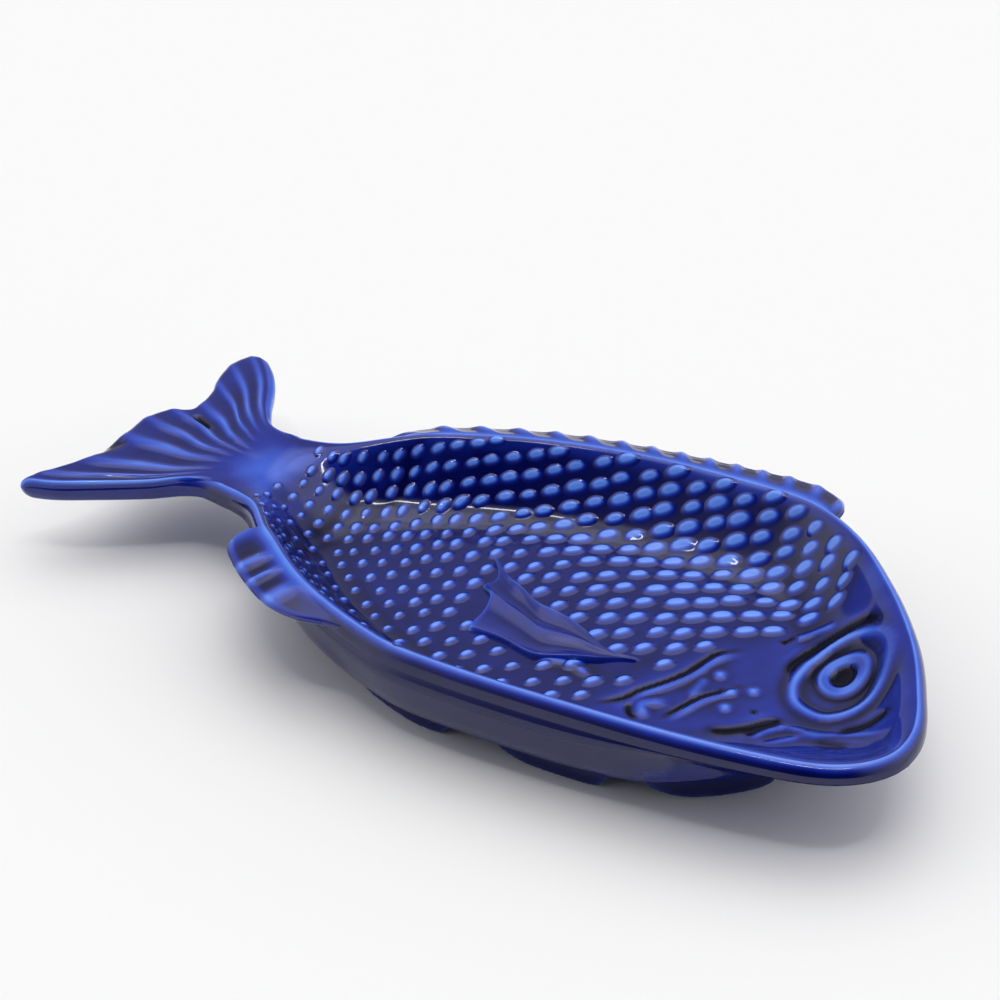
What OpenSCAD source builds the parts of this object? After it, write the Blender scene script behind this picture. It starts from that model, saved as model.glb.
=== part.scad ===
// Fish shaped platter in glazed stoneware: a deep scaled well with a forked tail, fins and six feet.
// Millimetres. +X points to the nose, +Y to the back of the fish, +Z up, and z = 0 is the table.

/* [Dish] */
// Length of the dish from the tail joint to the crest of the nose
body_length = 276; // [250:1:300]
// Width from the fish's axis to the rim along the back
back_width = 96; // [88:1:104]
// Width from the fish's axis to the rim along the belly
belly_width = 62; // [54:1:70]
// Height of the rim above the table
rim_height = 42; // [38:1:48]
// Thickness of the clay under the well
floor_thickness = 7; // [5:0.5:9]
// Horizontal run of the inner wall, from the rim down to the flat of the well
wall_run = 25; // [20:1:30]
// Horizontal run of the inner wall at the nose
nose_wall_run = 46; // [36:1:54]
// Radius of the rounded rim
lip_radius = 4; // [3:0.5:5]
// Height of the upright band under the rounded rim
rim_band = 3; // [2:0.5:5]
// Distance from the outer edge of the rim in to the flat of the base
base_inset = 15; // [12:1:20]
// Distance from the tip of the nose in to the flat of the base
nose_inset = 48; // [40:1:56]
// Rise of the well's floor inside the head
head_rise = 7; // [4:1:10]

/* [Tail] */
// Length of the tail from the joint to the tips
tail_length = 60; // [50:1:70]
// Reach of the lobe on the back's side, from the fish's axis
tail_back_reach = 51; // [44:1:58]
// Reach of the lobe on the belly's side, from the fish's axis
tail_belly_reach = 70; // [60:1:71]
// Depth of the fork
tail_fork = 11; // [6:1:18]
// Thickness of the tail
tail_thickness = 9; // [7:0.5:11]
// Height of the tail's upper side above the table
tail_height = 35; // [32:1:38]
// Number of rays in the tail
tail_rays = 10; // [6:1:12]
// Height of the tail's rays
tail_rib = 0.6; // [0.3:0.1:1]

/* [Fins] */
// Greatest width of the dorsal fin outside the rim
dorsal_width = 12; // [8:0.5:15]
// Number of ribs in the dorsal fin
dorsal_ribs = 15; // [10:1:18]
// Greatest width of the anal fin outside the rim
anal_width = 12.5; // [9:0.5:14]
// Number of ribs in the anal fin
anal_ribs = 9; // [6:1:11]
// Thickness of the fins at the rim
fin_thickness = 5.5; // [4:0.5:6.5]
// Height of a fin's ribs
fin_rib = 0.5; // [0.3:0.1:0.9]

/* [Relief] */
// Spacing of the scales along the body, at its middle
scale_pitch = 9.2; // [8.6:0.1:10.4]
// Height of a scale at the middle of the body
scale_height = 1.1; // [0.8:0.1:1.8]
// Height of the pectoral fin's folds
pectoral_height = 2.6; // [2:0.1:3.4]
// Height of the ridges on the head
ridge_height = 1.6; // [1.2:0.1:2.2]
// Radius of the eye's ring
eye_radius = 6.2; // [5:0.2:7]
// Joint between a sprigged piece and the clay that carries it
seat_gap = 0.25; // [0.2:0.05:0.3]

/* [Feet] */
// Height of the feet
foot_height = 10; // [7:0.5:13]
// Width of the foot ring
foot_width = 7; // [5:0.5:9]
// Share of a foot's length over which its tail end rises from the table
foot_rise = 0.4; // [0.2:0.02:0.45]

/* [Hidden] */

// The fish's axis lies off the middle of the box, because the back stands higher than the belly.
axis_y = -20;
joint_x = -110;
nose_x = joint_x + body_length;
well_floor = foot_height + floor_thickness;
tail_under = tail_height - tail_thickness;
cobalt = [0.06, 0.13, 0.62];
deep_cobalt = [0.03, 0.05, 0.32];

// Outlines of the rim from the nose to the tail joint: share of body_length, share of the width
back_outline = [
    [0, 0], [0.036, 0.27], [0.1, 0.52], [0.185, 0.75], [0.275, 0.93], [0.355, 1],
    [0.45, 0.96], [0.58, 0.865], [0.72, 0.69], [0.85, 0.44], [0.93, 0.25], [1, 0.175]
];
belly_outline = [
    [0, 0], [0.04, 0.32], [0.14, 0.53], [0.32, 0.77], [0.52, 0.97], [0.6, 1], [0.74, 0.885],
    [0.86, 0.64], [0.93, 0.42], [0.97, 0.365], [1, 0.355]
];

// Places along the dish, measured back from the nose
function from_nose(share) = nose_x - share * body_length;
head_start = from_nose(0.34);
chamfer_start = from_nose(0.385);
chamfer_end = from_nose(0.185);
setback_start = from_nose(0.295);
setback_end = from_nose(0.06);
base_middle_x = from_nose(0.5);
// Ends of the slopes from the tail joint up to the rim and down to the well's floor and the base
crest_slope_end = joint_x + 50;
well_slope_end = joint_x + 34;
base_slope_end = joint_x + 40;

// Inner wall: its steepness, how far it would pass the rim, and the round at the rim
wall_power = 1.9;
wall_over = 3;
rim_blend = 4;
// Outer wall: the steepness of its bulge at the belly and of its chamfer under the head
bulge_power = 3.2;
chamfer_power = 1.2;
// Hollow of the dish at the tail joint
trough = 1.5;
// Swell of the distance from the rim towards the middle of the dish
inset_swell = 0.6;

// Numbers of steps in the skins
dish_stations = 32;
dish_steps = 20;
tail_stations = 12;
tail_steps = 28;
round_steps = 2;

function clamp(t) = min(1, max(0, t));
function mix(a, b, t) = a + (b - a) * t;
function unit(p) = p / norm(p);
function reversed(list) = [for (i = [len(list) - 1 : -1 : 0]) list[i]];
function soft_min(a, b, k) = let (h = max(k - abs(a - b), 0) / k) min(a, b) - h * h * k / 4;

// Smooth step from 0 at a to 1 at b
function ease(a, b, x) = let (t = clamp((x - a) / (b - a))) t * t * (3 - 2 * t);

// Slope of the curve at point i, taken from its neighbours
function curve_slope(p, i) =
    let (a = p[max(i - 1, 0)], b = p[min(i + 1, len(p) - 1)])
    (b[1] - a[1]) / (b[0] - a[0]);

// Smooth curve through points listed as [place, value]
function curve(p, t) =
    let (
        i = max([for (k = [0 : len(p) - 2]) if (k == 0 || p[k][0] <= t) k]),
        run = p[i + 1][0] - p[i][0],
        s = clamp((t - p[i][0]) / run)
    )
    (1 + 2 * s) * pow(1 - s, 2) * p[i][1]
    + s * pow(1 - s, 2) * run * curve_slope(p, i)
    + s * s * (3 - 2 * s) * p[i + 1][1]
    + s * s * (s - 1) * run * curve_slope(p, i + 1);

// A path through plan points, at t from 0 to 1
function path_point(points, t) =
    let (n = len(points) - 1)
    [for (k = [0, 1]) curve([for (i = [0 : n]) [i / n, points[i][k]]], t)];

// A plan sheet between four edges: t runs from the root to the end, j from the lower edge to the upper
function last(list) = list[len(list) - 1];
function span_point(root, lower, upper, end, t, j) =
    let (corners = mix(mix(lower[0], upper[0], j), mix(last(lower), last(upper), j), t))
    mix(path_point(lower, t), path_point(upper, t), j)
    + mix(path_point(root, j), path_point(end, j), t)
    - corners;

// Rim outlines. The square root of the share keeps the nose round.
function rooted(outline) = [for (p = outline) [sqrt(p[0]), p[1]]];
back_curve = rooted(back_outline);
belly_curve = rooted(belly_outline);
function nose_share(x) = sqrt(clamp((nose_x - x) / body_length));
function back_y(x) = axis_y + back_width * curve(back_curve, nose_share(x));
function belly_y(x) = axis_y - belly_width * curve(belly_curve, nose_share(x));
function middle_y(x) = (back_y(x) + belly_y(x)) / 2;
function half_width(x) = (back_y(x) - belly_y(x)) / 2;
function across(x, y) = (y - middle_y(x)) / half_width(x);

// Plan point at a share of the length from the nose and a share across, from -1 at the belly to 1
function place(p) =
    let (x = from_nose(p[0]))
    [x, middle_y(x) + p[1] * half_width(x)];
function places(list) = [for (p = list) place(p)];

// Side 1 is the back's rim and side -1 the belly's
function rim_y(x, side) = side > 0 ? back_y(x) : belly_y(x);
slope_step = 0.4;
function inner_x(x) = min(nose_x - slope_step, max(joint_x + slope_step, x));
function rim_slope(x, side) =
    let (m = inner_x(x))
    (rim_y(m + slope_step, side) - rim_y(m - slope_step, side)) / (2 * slope_step);
function rim_cosine(x, side) = 1 / sqrt(1 + pow(rim_slope(x, side), 2));

// Outward direction of the rim in plan, square to the joint at the tail
square_length = 15;
function rim_normal(x, side) =
    let (turn = ease(joint_x, joint_x + square_length, x))
    unit(mix([0, side], unit([-side * rim_slope(x, side), side]), turn));
function rim_edge(x, side, reach) = [x, rim_y(x, side)] + reach * rim_normal(x, side);

// Distance in from the rim at the place v across
function inset(x, v, half) =
    let (q = clamp(1 - v * v), c = mix(rim_cosine(x, -1), rim_cosine(x, 1), (v + 1) / 2))
    half * c * q / 2 * (1 + inset_swell * q);

// Heights along the dish
function crest_z(x) = mix(tail_height, rim_height, ease(joint_x, crest_slope_end, x));
function floor_z(x) =
    mix(tail_height - trough, well_floor, ease(joint_x, well_slope_end, x))
    + head_rise * ease(head_start, nose_x, x);
function base_z(x) = mix(tail_under, foot_height, ease(joint_x, base_slope_end, x));
function band(x) = rim_band * (1 - ease(chamfer_start, nose_x, x));

// Upper side of the dish
function run_at(x) = mix(wall_run, nose_wall_run, ease(head_start, nose_x, x));
function well_z(x, v) =
    let (
        rise = crest_z(x) - floor_z(x),
        w = max(0, 1 - inset(x, v, half_width(x)) / run_at(x))
    )
    floor_z(x) + soft_min((rise + wall_over) * pow(w, wall_power), rise, rim_blend);
function on_well(p, lift) = [p[0], p[1], well_z(p[0], across(p[0], p[1])) + seat_gap + lift];

// Lower side of the dish. Under the head the wall leans in and the flat of the base lies further back.
function base_reach(x) = mix(base_inset, nose_inset, ease(setback_start, setback_end, x));
function base_power(x) = mix(bulge_power, chamfer_power, ease(chamfer_start, chamfer_end, x));
function under_z(x, v) =
    let (
        rise = crest_z(x) - lip_radius - band(x) - base_z(x),
        w = max(0, 1 - inset(x, v, half_width(x) + lip_radius) / base_reach(x))
    )
    base_z(x) + rise * pow(w, base_power(x));

// Stations run from 0 at the nose to 1 at the tail joint, places across bunch up towards the rim
station_power = 1.24;
nose_station = 0.0002;
function station_x(s) = nose_x - body_length * pow(s, station_power);
function bunched(j, steps) = sin(180 * j / steps - 90);

// The keel runs out to the rim's edge at the nose, so the last section closes flat
keel_power = 3;
function under_point(s, v) =
    let (
        x = station_x(s),
        edge = rim_edge(x, v < 0 ? -1 : 1, lip_radius),
        keel = [x + lip_radius * pow(1 - s, keel_power), middle_y(x)],
        p = mix(keel, edge, abs(v))
    )
    [p[0], p[1], under_z(x, v)];

// The round of the rim, from its crest to the top of the upright band
function rim_round(x, side) = [
    for (k = [1 : round_steps])
        let (a = 90 * k / round_steps, p = rim_edge(x, side, lip_radius * sin(a)))
        [p[0], p[1], crest_z(x) - lip_radius * (1 - cos(a))]
];

// One closed section of the dish: the well from belly to back, the rim, the underside, the rim
function dish_loop(s, steps) =
    let (x = station_x(s))
    concat(
        [for (j = [0 : steps]) section_point(x, bunched(j, steps))],
        rim_round(x, 1),
        [for (j = [steps : -1 : 0]) under_point(s, bunched(j, steps))],
        reversed(rim_round(x, -1))
    );
function section_point(x, v) = [x, middle_y(x) + v * half_width(x), well_z(x, v)];

// Triangles that skin a row of loops with n points each
function skin_faces(rows, n) = [
    for (r = [0 : rows - 2], j = [0 : n - 1])
        let (a = r * n + j, b = r * n + (j + 1) % n)
        each [[a, b + n, b], [a, a + n, b + n]]
];
// Triangles that close one loop of n points, whose first point has the number at
function cap_faces(n, at) = [
    for (j = [0 : n / 2 - 2])
        let (a = at + j, b = at + n - 1 - j)
        each [[a, a + 1, b], [a + 1, b - 1, b]]
];
module loft(loops) {
    rows = len(loops);
    n = len(loops[0]);
    polyhedron(
        points = [for (l = loops) each l],
        faces = concat(
            skin_faces(rows, n),
            cap_faces(n, 0),
            [for (f = cap_faces(n, (rows - 1) * n)) reversed(f)]
        )
    );
}

module dish_body() {
    color(cobalt)
        loft([
            for (i = [0 : dish_stations])
                dish_loop(mix(nose_station, 1, i / dish_stations), dish_steps)
        ]);
}

// Edges of the tail: share of tail_length, and a share across that runs from 1 at the back's reach
// through 0 at the fork to -1 at the belly's reach
fork_y = axis_y + 8;
function tail_place(p) = [
    joint_x - p[0] * tail_length,
    mix(fork_y, p[1] > 0 ? axis_y + tail_back_reach : axis_y - tail_belly_reach, abs(p[1]))
];
function tail_places(list) = [for (p = list) tail_place(p)];
tail_root = [[joint_x, belly_y(joint_x) - lip_radius], [joint_x, back_y(joint_x) + lip_radius]];
tail_belly_edge = concat([tail_root[0]], tail_places([
    [0.1, -0.43], [0.26, -0.51], [0.43, -0.65], [0.61, -0.78], [0.8, -0.9], [0.95, -0.96]
]));
tail_back_edge = concat([tail_root[1]], tail_places([
    [0.12, 0.24], [0.27, 0.27], [0.4, 0.42], [0.57, 0.71], [0.7, 0.88], [0.85, 1]
]));
tail_end_edge = tail_places([
    [0.95, -0.96], [1, -0.935], [0.965, -0.82], [0.9, -0.615], [0.935, -0.385], [0.975, -0.225],
    [0.935, -0.095], [1 - tail_fork / tail_length, 0], [0.87, 0.3], [0.975, 0.58], [1, 0.815],
    [0.95, 0.965], [0.85, 1]
]);

// Share of the length, and of the width, over which the tail's edges are rounded
tail_end_round = 0.06;
tail_side_round = 0.05;
edge_floor = 0.08;

// Plan of the tail: t runs along it, j across from the belly's edge to the back's
function tail_plan(t, j) = span_point(tail_root, tail_belly_edge, tail_back_edge, tail_end_edge, t, j);

// Share of the thickness that is left near the tail's edges
function edge_round(d, width) = d >= width ? 1 : sqrt(max(edge_floor, 1 - pow(1 - d / width, 2)));
function tail_body(t, j) =
    let (round = edge_round(1 - t, tail_end_round) * edge_round(min(j, 1 - j), tail_side_round))
    mix(1, round, ease(0, 0.35, t));
function tail_ray(t, j) = tail_rib * ease(0.2, 0.6, t) * cos(360 * tail_rays * j);
function tail_z(t, j, side) =
    let (lift = side * tail_thickness / 2 + (side > 0 ? tail_ray(t, j) : 0))
    tail_height - tail_thickness / 2 + lift * tail_body(t, j);

// One section of the tail, which starts as the dish's own section at the joint
joint_blend = 0.3;
function tail_loop(t) =
    let (
        joint = dish_loop(1, tail_steps),
        row = [for (j = [0 : tail_steps]) (bunched(j, tail_steps) + 1) / 2],
        upper = [for (j = row) [each tail_plan(t, j), tail_z(t, j, 1)]],
        lower = [for (j = row) [each tail_plan(t, j), tail_z(t, j, -1)]],
        side_shares = [for (k = [1 : round_steps]) k / (round_steps + 1)],
        back_side = [for (k = side_shares) mix(upper[tail_steps], lower[tail_steps], k)],
        belly_side = [for (k = side_shares) mix(lower[0], upper[0], k)],
        own = concat(upper, back_side, reversed(lower), belly_side)
    )
    [for (i = [0 : len(own) - 1])
        let (carried = joint[i] + [own[i][0] - joint_x, 0, 0])
        mix(carried, own[i], ease(0, joint_blend, t))];

module tail_fin() {
    color(cobalt)
        loft([for (i = [0 : tail_stations]) tail_loop(i / tail_stations)]);
}

// A ribbed fin outside the rim: its steps across, its droop, its drop below the crest, and the
// share of its thickness that is left at the edge
fin_steps = 3;
fin_droop = 2;
fin_drop = 1;
fin_edge = 0.35;
function fin_loop(side, x, width, rib) =
    let (
        top = crest_z(x) - fin_drop,
        row = [for (k = [0 : fin_steps]) k / fin_steps],
        plan = [for (q = row) rim_edge(x, side, lip_radius + seat_gap + width * q)],
        upper = [for (k = [0 : fin_steps])
            [each plan[k], top - fin_droop * pow(row[k], 2) + rib * sin(180 * row[k])]],
        lower = [for (k = [0 : fin_steps])
            let (q2 = pow(row[k], 2))
            [each plan[k], top - fin_droop * q2 - fin_thickness * mix(1, fin_edge, q2)]]
    )
    concat(upper, reversed(lower));

// shape lists the fin's width along the rim, as [place, share of width]
module rim_fin(side, start_x, end_x, width, shape, ribs, steps_per_rib) {
    stations = ribs * steps_per_rib;
    loft([
        for (i = [0 : stations])
            let (s = i / stations)
            fin_loop(side, mix(start_x, end_x, s), width * curve(shape, s), fin_rib * cos(360 * ribs * s))
    ]);
}

dorsal_front = from_nose(0.322);
dorsal_rear = from_nose(0.9);
dorsal_shape = [[0, 0.2], [0.04, 0.85], [0.12, 1], [0.4, 0.72], [0.7, 0.66], [0.92, 0.6], [1, 0.15]];
module dorsal_fin() {
    color(cobalt)
        rim_fin(1, dorsal_front, dorsal_rear, dorsal_width, dorsal_shape, dorsal_ribs, 4);
}

anal_rear = from_nose(0.875);
anal_front = from_nose(0.645);
anal_shape = [
    [0, 0.6], [0.06, 0.9], [0.2, 0.96], [0.4, 1], [0.6, 0.95], [0.75, 0.75], [0.88, 0.42], [1, 0.08]
];
module anal_fin() {
    color(cobalt)
        rim_fin(-1, anal_rear, anal_front, anal_width, anal_shape, anal_ribs, 4);
}

// The pectoral fin lies on the well's floor: t runs from its root to its end, j across it
pectoral_lower = places([
    [0.393, -0.173], [0.413, -0.204], [0.457, -0.303], [0.489, -0.372], [0.511, -0.377],
    [0.547, -0.343], [0.598, -0.351]
]);
pectoral_upper = places([
    [0.391, -0.154], [0.428, -0.172], [0.457, -0.135], [0.493, -0.073], [0.565, 0.004],
    [0.601, 0.077], [0.674, 0.263]
]);
pectoral_end = places([
    [0.598, -0.351], [0.609, -0.2], [0.627, -0.036], [0.645, 0.003], [0.641, 0.088], [0.674, 0.263]
]);
pectoral_root = [pectoral_lower[0], pectoral_upper[0]];
pectoral_stations = 14;
pectoral_steps = 10;
// Share of the fin's length that its root takes, and the heights of the root and of the folds across
// the fin as shares of pectoral_height
root_length = 0.35;
root_share = 0.25;
pectoral_folds = [[0, 0.75], [0.28, 0.3], [0.52, 0.65], [0.76, 0.3], [1, 1]];
function pectoral_plan(t, j) =
    span_point(pectoral_root, pectoral_lower, pectoral_upper, pectoral_end, t, j);
function pectoral_lift(t, j) =
    pectoral_height * mix(root_share, curve(pectoral_folds, j), ease(0, root_length, t));
function pectoral_loop(t) =
    let (row = [for (k = [0 : pectoral_steps]) k / pectoral_steps])
    concat(
        [for (j = row) on_well(pectoral_plan(t, j), pectoral_lift(t, j))],
        [for (j = reversed(row)) on_well(pectoral_plan(t, j), 0)]
    );
module pectoral_fin() {
    color(cobalt)
        loft([for (i = [0 : pectoral_stations]) pectoral_loop(i / pectoral_stations)]);
}

// Section of a raised ridge at p, square to the path, and the middle of its seat
ridge_shares = [-0.5, -0.3, 0, 0.3, 0.5];
ridge_arc = 160;
function ridge_loop(p, side, width, height) = [
    on_well(p, 0),
    for (q = reversed(ridge_shares)) on_well(p + side * width * q, height * cos(ridge_arc * q))
];

// A ridge along a path of plan points on the well, which thins out towards its ends
ridge_stations = 10;
ridge_end = 0.35;
ridge_step = 0.02;
function ridge_side(points, t) =
    let (d = path_point(points, min(1, t + ridge_step)) - path_point(points, max(0, t - ridge_step)))
    unit([-d[1], d[0]]);
module ridge(points, width) {
    loft([
        for (i = [0 : ridge_stations])
            let (t = i / ridge_stations, swell = mix(ridge_end, 1, sin(180 * t)))
            ridge_loop(path_point(points, t), ridge_side(points, t), width * swell, ridge_height * swell)
    ]);
}

gill_ridge_width = 6;
fine_ridge_width = 4.5;
gill_edge = places([
    [0.37, -0.549], [0.355, -0.464], [0.35, -0.364], [0.324, -0.137], [0.321, -0.032], [0.293, 0.198]
]);
cheek_edge = places([[0.293, -0.478], [0.29, -0.363], [0.272, -0.117], [0.257, -0.034]]);
hook_edge = places([[0.315, -0.343], [0.335, -0.42], [0.333, -0.476], [0.319, -0.54]]);
module gill_cover() {
    color(cobalt) {
        ridge(gill_edge, gill_ridge_width);
        ridge(cheek_edge, fine_ridge_width);
        ridge(hook_edge, fine_ridge_width);
    }
}

brow_edge = places([
    [0.248, 0.231], [0.248, 0.372], [0.239, 0.53], [0.221, 0.687], [0.196, 0.807], [0.17, 0.882],
    [0.145, 0.92]
]);
nape_edge = places([[0.272, 0.34], [0.261, 0.49], [0.246, 0.61], [0.235, 0.66]]);
module brow_ridge() {
    color(cobalt) {
        ridge(brow_edge, fine_ridge_width);
        ridge(nape_edge, fine_ridge_width);
    }
}

upper_lip = places([
    [0.196, -0.376], [0.181, -0.225], [0.156, -0.128], [0.123, -0.052], [0.087, 0.074], [0.055, 0.24]
]);
lower_lip = places([[0.155, -0.36], [0.145, -0.28], [0.123, -0.2], [0.091, -0.12], [0.06, -0.06]]);
module mouth_lips() {
    color(cobalt) {
        ridge(upper_lip, fine_ridge_width);
        ridge(lower_lip, fine_ridge_width);
    }
}

// A ridge that closes on itself: points is its middle line and centre the place it goes round
module ring(points, centre, width) {
    loops = [for (p = points) ridge_loop(p, unit(centre - p), width, ridge_height)];
    n = len(loops[0]);
    count = len(loops) * n;
    polyhedron(
        points = [for (l = loops) each l],
        faces = [for (f = skin_faces(len(loops) + 1, n)) [for (i = f) i % count]]
    );
}

// Smooth closed curve through a list of points, at t from 0 to 1
function closed_point(points, t) =
    let (
        n = len(points),
        i = floor(t * n),
        s = t * n - i,
        a = points[(i + n - 1) % n],
        b = points[i % n],
        c = points[(i + 1) % n],
        d = points[(i + 2) % n]
    )
    b + s / 2 * (c - a) + s * s * (a - 2.5 * b + 2 * c - d / 2) + pow(s, 3) / 2 * (3 * b - 3 * c + d - a);

ring_stations = 24;
eye_centre = place([0.161, 0.448]);
module eye_ring() {
    line = [
        for (i = [0 : ring_stations - 1])
            let (a = 360 * i / ring_stations)
            eye_centre + eye_radius * [cos(a), sin(a)]
    ];
    color(cobalt)
        ring(line, eye_centre, fine_ridge_width);
}

socket_edge = places([
    [0.214, 0.266], [0.203, 0.147], [0.181, 0.071], [0.156, 0.053], [0.13, 0.124], [0.109, 0.33],
    [0.098, 0.607], [0.105, 0.791], [0.123, 0.848], [0.149, 0.827], [0.178, 0.76], [0.203, 0.635],
    [0.217, 0.43]
]);
module eye_socket() {
    color(cobalt)
        ring([for (i = [0 : ring_stations - 1]) closed_point(socket_edge, i / ring_stations)],
            eye_centre, fine_ridge_width);
}

// Lengths along the dish's section from the belly's rim, as [length, place across]
section_samples = 32;
function arc_table(x) =
    let (
        row = [for (k = [0 : section_samples]) 2 * k / section_samples - 1],
        line = [for (v = row) section_point(x, v)]
    )
    [for (
        k = 0, length = 0;
        k <= section_samples;
        length = length + norm(line[min(k + 1, section_samples)] - line[k]), k = k + 1
    ) [length, row[k]]];

// Point at the length a along the section at x, lifted square to the section
arc_step = 0.5;
function on_section(table, x, a, lift) =
    let (
        p = section_point(x, lookup(a, table)),
        d = section_point(x, lookup(a + arc_step, table)) - section_point(x, lookup(a - arc_step, table))
    )
    p + unit([0, -d[2], d[1]]) * (seat_gap + lift);

// True where a plan point lies inside a closed outline
function inside(outline, p) =
    let (
        n = len(outline),
        hits = [for (i = [0 : n - 1])
            let (a = outline[i], b = outline[(i + 1) % n])
            if ((a[1] > p[1]) != (b[1] > p[1])
                && p[0] < mix(a[0], b[0], (p[1] - a[1]) / (b[1] - a[1]))) 1]
    )
    len(hits) % 2 == 1;

// Scales stand in columns across the well, every other column half a step along, and grow from their
// rear share of the full size at the tail to the full size at the middle
rear_share = 0.63;
scale_rear = joint_x + 12;
scale_front = from_nose(0.22);
scale_full = from_nose(0.53);
function scale_size(x) = mix(rear_share, 1, ease(joint_x, scale_full, x));
scale_columns = [for (x = scale_rear; x < scale_front; x = x + scale_pitch * scale_size(x)) x];
step_share = 1.065;
scale_step = step_share * scale_pitch;
scale_rows = 12;
scale_margin = 5;
// Front of the scaled part, as [share across, share from the nose], and the bare floor round the fin
head_line = [
    [-1, 0.391], [-0.559, 0.391], [-0.297, 0.38], [-0.041, 0.351], [0.094, 0.341], [0.236, 0.319],
    [0.397, 0.29], [0.567, 0.272], [0.768, 0.246], [1, 0.225]
];
pectoral_clear = 1.12;
pectoral_outline = concat(pectoral_lower, pectoral_end, reversed(pectoral_upper));
pectoral_middle = place([0.54, -0.12]);
bare_outline = [for (p = pectoral_outline) mix(pectoral_middle, p, pectoral_clear)];
function keeps_scale(x, v) =
    x < from_nose(curve(head_line, v)) && !inside(bare_outline, [x, middle_y(x) + v * half_width(x)]);

// A scale's points: its base, a shoulder and its top, which leans towards the tail
scale_sides = 6;
reach_share = [0.36, 0.45];
scale_reach = [reach_share[0] * scale_pitch, reach_share[1] * scale_step];
shoulder = [0.72, 0.75];
scale_lean = 0.9;
function scale_ring(table, x, a, share, lift) = [
    for (k = [0 : scale_sides - 1])
        let (turn = 360 * (k + 0.5) / scale_sides, reach = share * scale_reach)
        on_section(table, x + reach[0] * cos(turn), a + reach[1] * sin(turn), lift)
];
function scale_points(table, x, a) =
    let (size = scale_size(x), lift = scale_height * size)
    concat(
        scale_ring(table, x, a, size, 0),
        scale_ring(table, x - scale_lean * size / 2, a, shoulder[0] * size, shoulder[1] * lift),
        [on_section(table, x - scale_lean * size, a, lift)]
    );
scale_faces = concat(
    [for (k = [0 : scale_sides - 1])
        let (n = (k + 1) % scale_sides)
        each [
            [k, k + scale_sides, n + scale_sides],
            [k, n + scale_sides, n],
            [k + scale_sides, 2 * scale_sides, n + scale_sides]
        ]],
    [for (k = [1 : scale_sides - 2]) [0, k, k + 1]]
);
scale_list = [
    for (c = [0 : len(scale_columns) - 1])
        let (
            x = scale_columns[c],
            table = arc_table(x),
            whole = table[section_samples][0],
            first = whole / 2 + (c % 2) * scale_step / 2
        )
        for (r = [-scale_rows : scale_rows])
            let (a = first + r * scale_step)
            if (a > scale_margin && a < whole - scale_margin && keeps_scale(x, lookup(a, table)))
                scale_points(table, x, a)
];
module scales() {
    size = len(scale_list[0]);
    color(cobalt)
        polyhedron(
            points = [for (points = scale_list) each points],
            faces = [
                for (i = [0 : len(scale_list) - 1])
                    for (f = scale_faces) [for (k = f) k + i * size]
            ]
        );
}

// The foot ring follows the edge of the flat base. d is the distance in from that edge.
deepest = (1 + inset_swell) / 2;
function ring_share(x, d) = deepest * (base_reach(x) + d) / inset(x, 0, half_width(x) + lip_radius);
function ring_end(lo, hi, d, n = 24) =
    let (m = (lo + hi) / 2)
    n == 0 ? m : ring_share(m, d) < deepest ? ring_end(m, hi, d, n - 1) : ring_end(lo, m, d, n - 1);
function ring_v(x, d) =
    let (
        t = min(deepest, ring_share(x, d)),
        q = (sqrt(1 + 8 * inset_swell * t) - 1) / (2 * inset_swell)
    )
    sqrt(max(0, 1 - q));

// Point of the ring at an angle from the nose's side
function ring_point(d, a) =
    let (
        front = ring_end(base_middle_x, nose_x, d),
        rear = ring_end(base_middle_x, base_slope_end, d),
        x = mix((front + rear) / 2, front, cos(a)),
        v = ring_v(x, d) * sign(sin(a))
    )
    [x, middle_y(x) + v * (half_width(x) + lip_radius)];

foot_margin = 0.5;
foot_lean = 1;
foot_stations = 12;
// Share of a foot's length over which its front end rises, and the share of its height that it rises
foot_front_rise = 0.14;
foot_lift = 0.8;
// Height of a foot's lower side, at the share t of its length from the tail's end
function foot_low(t) =
    foot_lift * foot_height * (1 - min(edge_round(t, foot_rise), edge_round(1 - t, foot_front_rise)));
function foot_loop(from, to, t, rear_share) =
    let (
        a = mix(from, to, t),
        low = foot_low(rear_share),
        outer = foot_margin,
        inner = foot_margin + foot_width
    )
    [
        [each ring_point(outer + foot_lean, a), low],
        [each ring_point(inner - foot_lean, a), low],
        [each ring_point(inner, a), foot_height],
        [each ring_point(outer, a), foot_height]
    ];
module foot(from, to) {
    color(deep_cobalt)
        loft([
            for (i = [0 : foot_stations])
                let (t = i / foot_stations)
                foot_loop(from, to, t, from < 0 ? t : 1 - t)
        ]);
}

// Angles of the feet on the belly's side, from the tail to the nose. The back's side mirrors them.
foot_spans = [[-125, -92], [-83, -56], [-47, -10]];
module foot_belly_rear() { foot(foot_spans[0][0], foot_spans[0][1]); }
module foot_belly_middle() { foot(foot_spans[1][0], foot_spans[1][1]); }
module foot_belly_front() { foot(foot_spans[2][0], foot_spans[2][1]); }
module foot_back_rear() { foot(-foot_spans[0][1], -foot_spans[0][0]); }
module foot_back_middle() { foot(-foot_spans[1][1], -foot_spans[1][0]); }
module foot_back_front() { foot(-foot_spans[2][1], -foot_spans[2][0]); }

dish_body();
tail_fin();
dorsal_fin();
anal_fin();
scales();
pectoral_fin();
gill_cover();
brow_ridge();
eye_socket();
eye_ring();
mouth_lips();
foot_belly_rear();
foot_belly_middle();
foot_belly_front();
foot_back_rear();
foot_back_middle();
foot_back_front();
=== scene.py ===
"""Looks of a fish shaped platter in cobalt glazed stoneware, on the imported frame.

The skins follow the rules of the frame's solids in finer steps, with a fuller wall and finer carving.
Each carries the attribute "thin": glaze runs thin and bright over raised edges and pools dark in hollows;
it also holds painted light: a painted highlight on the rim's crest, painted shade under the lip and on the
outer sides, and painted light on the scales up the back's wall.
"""

import math

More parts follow.
